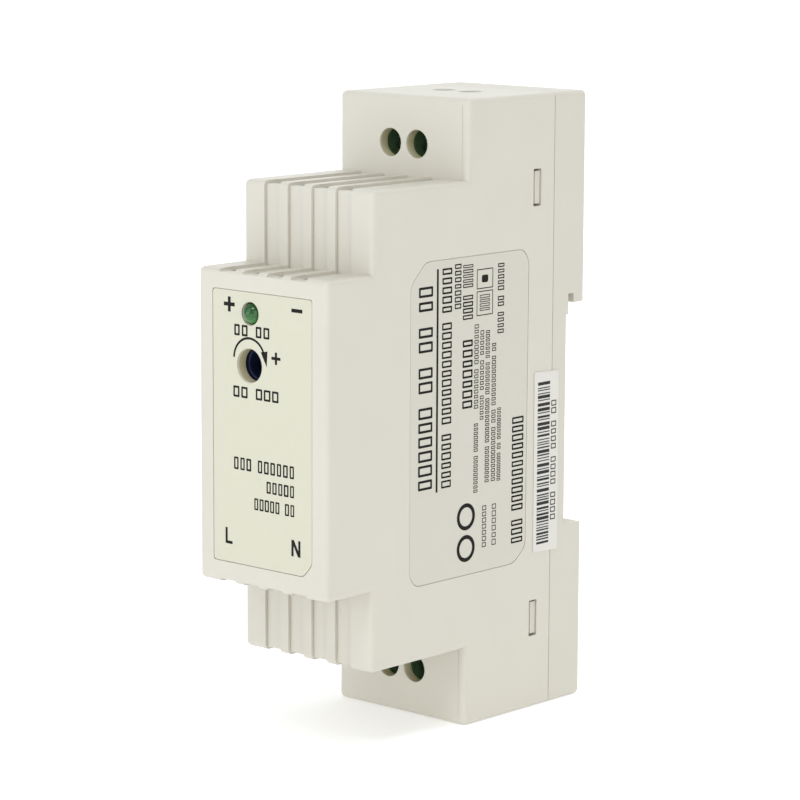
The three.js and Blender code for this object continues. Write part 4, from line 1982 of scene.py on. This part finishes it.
    def side_print(self) -> Form:
        """Blocked-out wording of the side label, with plain marks in place of approval marks.

        Returns:
            The ink.
        """
        face = SIZES.half_width - SIDE_LABEL.recess + GLUE + SIDE_LABEL.film
        sheet = PrintedSheet(Axis.X, face)
        sheet.bar(*self.side_rule)
        for row in self.side_rows:
            sheet.row(row)
        for v in self.frame_v:
            sheet.box(self.frame_u, v, 0.14)
        sheet.bar((32.5, 33.9), (65.4, 66.5), 0.3)
        for centre in self.ring_centres:
            sheet.ring(*(circle(centre, radius, 40) for radius in self.ring_radii))
        return sheet.form()

    def sticker_print(self) -> Form:
        """Plain bars and blocks that encode nothing.

        Returns:
            The ink.
        """
        draw = random.Random(self.bar_seed)
        sheet = PrintedSheet(Axis.X, SIZES.half_width + GLUE + self.sticker)
        place, end = self.bars
        while place < end:
            width = draw.choice((0.16, 0.22, 0.34, 0.48))
            sheet.bar((45.3, 48.1), (place, place + width))
            place += width + draw.choice((0.18, 0.26, 0.34))
        sheet.row(Row((48.45, 49.6), (28.0, 46.4), (4, 4, 4, 2), 0.17, 61))
        return sheet.form()


# ---- terminals -----------------------------------------------------------------------------------
@dataclass(frozen=True)
class BoardSizes:
    """Where the two circuit boards lie."""

    front_y: float = 46.4
    rear_y: float = 48.0
    control_x: Span = (-7.45, -5.85)


BOARDS = BoardSizes()


@dataclass(frozen=True)
class PoleBlock:
    """A block at a terminal's pole.

    Attributes:
        half: Half its width.
        y: Its range in depth.
        from_end: Its range of heights, from the near end of the case.
    """

    half: float
    y: Span
    from_end: Span

    def form(self, x: float, side: int, radius: float = 0.0, steps: int = 4) -> Form:
        """Build the block.

        Args:
            x: The pole's place across the case.
            side: 1 for the top end of the case, -1 for the bottom end.
            radius: Edge radius.
            steps: Segments in each rounded edge.

        Returns:
            The block.
        """
        heights = SIZES.from_end(side, *self.from_end)
        return Form.block(around(x, self.half), self.y, heights, radius, steps)


@dataclass
class TerminalGroup:
    """A two-pole screw terminal at one end of the case."""

    shop: Workshop
    side: int
    group: str
    poles: tuple[str, str]
    sizes: CaseSizes = SIZES
    head_front: float = 33.2
    head_rear: float = 34.2
    head_radius: float = 1.95
    tip_y: float = 38.8
    pitch: float = 0.5
    bore_radius: float = 2.1
    shank_hole: float = 1.5
    funnel_radius: float = 1.85
    funnel: Span = (1.5, 4.6)
    tooth_z: tuple[float, ...] = (-1.2, -0.4, 0.4, 1.2)
    body: PoleBlock = PoleBlock(5.3, (31.4, BOARDS.front_y - 0.05), (2.1, 13.0))
    chamber: PoleBlock = PoleBlock(2.15, (34.8, 44.1), (4.3, 11.0))
    pin_slot: PoleBlock = PoleBlock(0.75, (44.0, 48.0), (9.6, 10.8))
    cage: PoleBlock = PoleBlock(1.9, (37.2, 43.7), (4.8, 9.3))
    plate: PoleBlock = PoleBlock(1.1, (38.9, 39.6), (5.0, 10.5))
    pin: PoleBlock = PoleBlock(0.5, (39.2, 48.6), (9.8, 10.5))

    def housing(self) -> Form:
        """The green housing with its bores and clamp chambers.

        Returns:
            The housing.
        """
        s = self.sizes
        front = self.body.y[0]
        bore_depth = self.head_rear - front + 0.1
        funnel = s.from_end(self.side, *self.funnel)
        z = s.at_end(self.side, s.screw_from_end)
        tools = []
        for x in s.pole_x:
            tools += [
                rimmed_hole(Axis.Y, (x, z), self.bore_radius, front, bore_depth, 0.12),
                Form.cylinder(Axis.Y, (x, z), self.shank_hole, (33.0, 35.5)),
                self.chamber.form(x, self.side),
                Form.cylinder(Axis.Z, (x, s.wire_y), self.funnel_radius, funnel),
                self.pin_slot.form(x, self.side),
            ]
        return self.body.form(0.0, self.side, 0.25, 3).cut(*tools)

    def screw(self, x: float, z: float) -> Form:
        """A slotted screw with a chamfered head.

        Args:
            x: The pole's place across the case.
            z: The pole's place up the case.

        Returns:
            The screw.
        """
        top, base, radius = self.head_front, self.head_rear, self.head_radius
        profile = [(0.0, top)] + arc((radius - 0.25, top + 0.25), 0.25, -90, 0, 4)
        profile += [(radius, base - 0.1), (radius - 0.1, base), (1.25, base)]
        crest = base + 0.3
        while crest < self.tip_y - 0.6:
            profile += [(1.1, crest), (1.25, crest + self.pitch / 2)]
            crest += self.pitch
        profile += [(1.05, self.tip_y - 0.05), (0.0, self.tip_y)]
        slot = Form.block(around(x, 2.2), (31.0, top + 0.55), around(z, 0.32))
        cross = Form.block(around(x, 0.3), (31.0, top + 0.45), around(z, 1.25))
        return Form.turned(profile, Axis.Y, (x, z), 48).cut(slot, cross)

    def clamp(self, x: float, z: float) -> Form:
        """The rising cage round the wire.

        Args:
            x: The pole's place across the case.
            z: The pole's place up the case.

        Returns:
            The clamp.
        """
        inside = around(x, 1.3)
        teeth = [
            Form.prism(rectangle(inside, (42.9, 43.0)), Axis.Z, around(z + dz, 0.15))
            for dz in self.tooth_z
        ]
        return self.cage.form(x, self.side, 0.2, 3).cut(
            Form.block(inside, (38.6, 42.9), around(z, 4)),
            Form.cylinder(Axis.Y, (x, z), 1.35, (36.0, 39.0)),
            *teeth,
        )

    def contact(self, x: float) -> Form:
        """The fixed plate and its pin."""
        plate, pin = (part.form(x, self.side, 0.08, 2) for part in (self.plate, self.pin))
        return plate.join(pin)

    def build(self) -> None:
        """Make the housing and the parts of both poles."""
        self.shop.piece(
            f"{self.group}_terminal_housing", self.housing(), "terminal_green",
            f"{self.group}_terminal_block",
        )
        for x, pole in zip(self.sizes.pole_x, self.poles):
            z = self.sizes.at_end(self.side, self.sizes.screw_from_end)
            for part, form, finish in (
                ("screw", self.screw(x, z), "zinc_plate"),
                ("clamp", self.clamp(x, z), "zinc_plate"),
                ("contact", self.contact(x), "tinned_brass"),
            ):
                name = f"{self.group}_{part}_{pole}"
                self.shop.piece(f"{name}_metal", form, finish, name)


# ---- indicator and trimmer -----------------------------------------------------------------------
@dataclass
class FrontControls:
    """The status lamp and the voltage trimmer behind the front panel."""

    shop: Workshop
    board_face: float = BOARDS.control_x[1] + 0.05
    dome_centre: float = 0.75
    dome_radius: float = 1.5
    flange_radius: float = 1.85
    flange_y: Span = (4.4, 5.2)
    leg_half: float = 0.25
    leg_spread: float = 1.27
    leg_y: Span = (5.22, 8.5)
    case_half: float = 3.3
    case_reach: float = 3.35
    case_y: Span = (5.0, 10.4)
    collar_radius: float = 2.9
    collar_y: Span = (2.1, 5.5)
    bore_radius: float = 2.05
    rotor_radius: float = 1.9
    rotor_y: Span = (4.1, 9.4)
    slot_y: Span = (3.0, 5.0)
    slot_half: float = 0.3
    slot_reach: float = 3.0
    cross_reach: float = 1.2

    def lamp(self) -> None:
        """Make the lamp and its legs."""
        x, z = SIZES.lamp
        radius, (front, rear) = self.flange_radius, self.flange_y
        profile = arc((0.0, self.dome_centre), self.dome_radius, -90, 0, 12)
        profile += [(self.dome_radius, front - 0.1), (radius, front), (radius, rear - 0.05)]
        profile += [(radius - 0.05, rear), (0.0, rear)]
        self.shop.piece(
            "status_lamp_lens", Form.turned(profile, Axis.Y, (x, z), 64), "lamp_lens", "status_lamp"
        )
        half, end = self.leg_half, self.leg_y[1]
        legs = []
        for dz in (-self.leg_spread, self.leg_spread):
            thick = around(z + dz, half)
            foot = Form.block((self.board_face, x + half), (end - 2 * half, end), thick, 0.05, 1)
            legs.append(Form.block(around(x, half), self.leg_y, thick, 0.05, 1).join(foot))
        self.shop.piece("status_lamp_legs", legs[0].beside(legs[1]), "solder", "status_lamp", False)

    def trimmer(self) -> None:
        """Make the trimmer's body and its slotted rotor."""
        x, z = SIZES.trimmer
        across = (self.board_face, x + self.case_reach)
        front = self.collar_y[0]
        body = Form.block(across, self.case_y, around(z, self.case_half), 0.2, 3).join(
            Form.cylinder(Axis.Y, (x, z), self.collar_radius, self.collar_y, 0.15, 64)
        )
        body = body.cut(rimmed_hole(Axis.Y, (x, z), self.bore_radius, front, 7.5, 0.1))
        self.shop.piece("trimmer_case", body, "trimmer_plastic", "trimmer_body")
        rotor = Form.cylinder(Axis.Y, (x, z), self.rotor_radius, self.rotor_y, 0.15, 64).cut(
            Form.block(around(x, self.slot_half), self.slot_y, around(z, self.slot_reach)),
            Form.block(around(x, self.cross_reach), self.slot_y, around(z, self.slot_half)),
        )
        self.shop.piece("trimmer_rotor_slotted", rotor, "rotor_plastic", "trimmer_rotor")

    def build(self) -> None:
        """Make both."""
        self.lamp()
        self.trimmer()


# ---- inside --------------------------------------------------------------------------------------
@dataclass(frozen=True)
class Refined:
    """A CAD node whose shape is right: it gets crisp, finely bevelled edges and a finish."""

    node: str
    finish: str
    bevel: float = 0.12


@dataclass
class Internals:
    """The boards and the parts on them."""

    shop: Workshop
    refined: tuple[Refined, ...] = (
        Refined("main_board", "board_mask", 0.05),
        Refined("control_board", "board_mask", 0.05),
        Refined("board_header", "epoxy_package", 0.1),
        Refined("transformer_core_front", "ferrite"),
        Refined("transformer_core_rear", "ferrite"),
        Refined("transformer_bobbin", "bobbin_plastic"),
        Refined("transformer_winding", "winding_tape", 0.0),
        Refined("x_capacitor", "film_capacitor_case", 0.0),
        Refined("y_capacitor", "ceramic_coating", 0.3),
        Refined("thermistor", "epoxy_package", 0.3),
        Refined("fuse", "fuse_plastic", 0.2),
        Refined("output_choke_core", "ferrite"),
        Refined("output_choke_winding", "copper_wire"),
        Refined("bridge_rectifier", "epoxy_package"),
        Refined("heat_sink", "aluminium_sheet", 0.08),
        Refined("output_diode", "epoxy_package"),
        Refined("heat_sink_screw", "zinc_plate", 0.08),
        Refined("switcher_chip", "epoxy_package", 0.06),
        Refined("optocoupler", "epoxy_package", 0.06),
        Refined("insulation_sheet", "pressed_paper", 0.0),
    )
    cans: tuple[tuple[str, float], ...] = (
        ("bulk_capacitor", 5.0),
        ("output_capacitor_a", 4.0),
        ("output_capacitor_b", 4.0),
    )
    vent_share: float = 0.6
    vent_half: float = 0.1

    def refine(self, part: Refined) -> None:
        """Copy a node's own mesh, clean its flat faces and dress it.

        Args:
            part: The node and its finish.
        """
        source = frame["nodes"][part.node]
        bm = bmesh.new()
        bm.from_mesh(source.data)
        bmesh.ops.remove_doubles(bm, verts=bm.verts, dist=1e-6)
        bmesh.ops.dissolve_limit(
            bm,
            angle_limit=math.radians(1.0),
            verts=bm.verts,
            edges=bm.edges,
            use_dissolve_boundaries=False,
        )
        form = Form.from_bmesh(bm)
        form.mesh.transform(CASE.matrix().inverted())
        self.shop.piece(f"{part.node}_part", form, part.finish, part.node, bevel=part.bevel)

    def build(self) -> None:
        """Make everything inside the case."""
        for part in self.refined:
            self.refine(part)
        for node, radius in self.cans:
            self.can(node, radius)
        self.auxiliary_can()

    def can(self, node: str, radius: float) -> None:
        """A can capacitor standing on the main board.

        Args:
            node: The CAD node, whose box gives its place.
            radius: The can's radius.
        """
        start, end = CASE.box(node)
        centre = ((start.x + end.x) / 2, (start.z + end.z) / 2)
        top, foot = start.y, end.y
        profile = [(0.0, top + 0.28), (radius - 1.05, top + 0.28), (radius - 0.95, top + 0.05)]
        profile += arc((radius - 0.5, top + 0.5), 0.5, -90, 0, 5)
        profile += [(radius, foot - 2.6)]
        profile += arc((radius + 0.1, foot - 2.1), 0.42, 235, 125, 6)
        profile += [(radius, foot - 1.6), (radius, foot - 0.3), (radius - 0.3, foot), (0.0, foot)]
        long, thin = radius * self.vent_share, self.vent_half
        vents = [
            Form.block(
                around(centre[0], across),
                (top, top + 0.4),
                around(centre[1], tall),
            )
            for across, tall in ((long, thin), (thin, long))
        ]
        can = Form.turned(profile, Axis.Y, centre, 64).cut(*vents)
        place = CASE.point(centre[0], 0.0, centre[1])
        sleeve = ShrinkSleeve(f"{node}_sleeve", (place.x, place.z))
        self.shop.piece(f"{node}_can", can, sleeve.material(), node)

    def auxiliary_can(self) -> None:
        """The small can lying across from the control board."""
        node = "auxiliary_capacitor"
        start, end = CASE.box(node)
        centre = ((start.y + end.y) / 2, (start.z + end.z) / 2)
        radius = (end.y - start.y) / 2
        near = start.x
        profile = [(0.0, near), (radius - 0.2, near), (radius, near + 0.2), (radius, near + 1.2)]
        profile += arc((radius + 0.1, near + 1.55), 0.35, 235, 125, 5)[::-1]
        profile += [(radius, near + 1.9)]
        profile += arc((radius - 0.4, end.x - 0.4), 0.4, 0, 90, 5)
        profile += [(0.0, end.x)]
        place = CASE.point(0.0, centre[0], centre[1])
        sleeve = ShrinkSleeve(f"{node}_sleeve", (0.1, place.z))
        self.shop.piece(
            f"{node}_can", Form.turned(profile, Axis.X, centre, 48), sleeve.material(), node
        )


# ---- studio --------------------------------------------------------------------------------------
COOL = (0.93, 0.975, 1.0)
WARM = (1.0, 0.985, 0.965)


@dataclass(frozen=True)
class Softbox:
    """A square area light.

    Attributes:
        name: Its name.
        place: Where it stands, in metres from the middle of the case.
        size: Length of its side in metres.
        power: Its power in watts.
        colour: Its colour.
        aim: What it points at, in metres from the middle of the case.
    """

    name: str
    place: tuple[float, float, float]
    size: float
    power: float
    colour: Colour = COOL
    aim: tuple[float, float, float] = (0.0, 0.0, 0.0)


@dataclass
class Studio:
    """Pale sweep, soft lights and the camera."""

    azimuth: float = 42.05
    elevation: float = 9.5
    roll: float = 0.25
    distance: float = 0.4745
    lens: float = 145.5
    aim: tuple[float, float, float] = (0.62, 0.0, 0.82)
    paper: float = 0.90
    glow: float = 0.26
    daylight: float = 0.5
    softboxes: tuple[Softbox, ...] = (
        Softbox("key_softbox", (-0.35, -1.15, 0.75), 0.9, 3.1),
        Softbox("fill_softbox", (1.3, -0.45, 0.35), 1.2, 6.0, WARM),
        Softbox("top_softbox", (0.3, -0.55, 1.13), 0.42, 3.8),
        Softbox("low_softbox", (-0.45, -1.1, -0.02), 0.8, 4.6),
        Softbox("backdrop_softbox", (0.1, 0.8, 1.4), 1.0, 9.0, COOL, (-0.9, 1.1, 0.5)),
    )

    def camera(self) -> None:
        """Place the camera."""
        a, e = math.radians(self.azimuth), math.radians(self.elevation)
        back = Vector((math.sin(a) * math.cos(e), -math.cos(a) * math.cos(e), math.sin(e)))
        right = Vector((math.cos(a), math.sin(a), 0.0))
        up = back.cross(right)
        middle = CASE.point(0.0, 28.0, 46.5)
        target = middle + right * (self.aim[0] * MM) + up * (self.aim[2] * MM)
        data = bpy.data.cameras.new("studio_camera")
        data.lens = self.lens
        data.sensor_width = 36.0
        data.clip_start = 0.01
        camera = linked("studio_camera", data)
        turn = math.radians(self.roll)
        side = right * math.cos(turn) + up * math.sin(turn)
        top = up * math.cos(turn) - right * math.sin(turn)
        basis = Matrix((side, top, back)).transposed().to_4x4()
        camera.matrix_world = Matrix.Translation(target + back * self.distance) @ basis
        bpy.context.scene.camera = camera

    def light(self, box: Softbox) -> None:
        """Add one soft square light.

        Args:
            box: The light.
        """
        data = bpy.data.lights.new(box.name, "AREA")
        data.shape = "SQUARE"
        data.size = box.size
        data.energy = box.power
        data.color = box.colour
        middle = CASE.point(0.0, 28.0, 46.0)
        way = Vector(box.aim) - Vector(box.place)
        lamp = linked(box.name, data)
        lamp.location = middle + Vector(box.place)
        lamp.rotation_euler = way.to_track_quat("-Z", "Y").to_euler()

    def sweep(self) -> None:
        """A pale floor that curves up into a backdrop, turned square to the camera."""
        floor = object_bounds()[0][2]
        radius, near, far, wide = 0.5, -2.0, 1.6, 3.0
        profile = [(near, 0.0), (far - radius, 0.0)]
        profile += arc((far - radius, radius), radius, -90, 0, 16)
        profile += [(far, 2.6)]
        bm = bmesh.new()
        rows = [[bm.verts.new((x, y, z)) for x in (-wide, wide)] for y, z in profile]
        for low, high in zip(rows, rows[1:]):
            bm.faces.new((low[0], low[1], high[1], high[0]))
        mesh = bpy.data.meshes.new("studio_sweep")
        bm.to_mesh(mesh)
        bm.free()
        mesh.transform(
            Matrix.Translation((0, 0, floor)) @ Matrix.Rotation(math.radians(self.azimuth), 4, "Z")
        )
        mesh.shade_smooth()
        backdrop = linked("studio_sweep", mesh)
        shader = Shader("studio_paper")
        cloud = shader.noise(shader.place(), 8.0, 2.0)
        shader.set(
            Base_Color=shader.mix(cloud, (self.paper,) * 3, (self.paper + 0.03,) * 3),
            Roughness=0.9,
            Emission_Color=(1.0, 1.0, 1.0),
            Emission_Strength=self.glow,
        )
        backdrop.data.materials.append(shader.material)
        backdrop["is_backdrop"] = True

    def build(self) -> None:
        """Set up the studio."""
        self.camera()
        self.sweep()
        for box in self.softboxes:
            self.light(box)
        world = bpy.data.worlds.new("studio_world")
        world.use_nodes = True
        background = world.node_tree.nodes["Background"]
        background.inputs["Color"].default_value = (1.0, 1.0, 1.0, 1.0)
        background.inputs["Strength"].default_value = self.daylight
        bpy.context.scene.world = world
        bpy.context.scene.view_settings.view_transform = "Standard"
        bpy.context.scene.view_settings.look = "None"


def write_sizes() -> None:
    def plain(box: Any) -> list[list[float]]:
        """The two corners as plain lists."""
        return [[float(value) for value in corner] for corner in box]


def main() -> None:
    """Build every sub-assembly in order."""
    logging.basicConfig(level=logging.INFO, format="%(name)s %(message)s")
    shop = Workshop(Palette())
    builders: list[Callable[[], None]] = [
        FrontCover(shop).build,
        RearBase(shop).build,
        RailLatch(shop).build,
        Labels(shop).build,
        TerminalGroup(shop, 1, "output", ("positive", "negative")).build,
        TerminalGroup(shop, -1, "input", ("line", "neutral")).build,
        FrontControls(shop).build,
        Internals(shop).build,
        Studio().build,
    ]
    for build in builders:
        build()
    write_sizes()


if __name__ == "__main__":
    main()
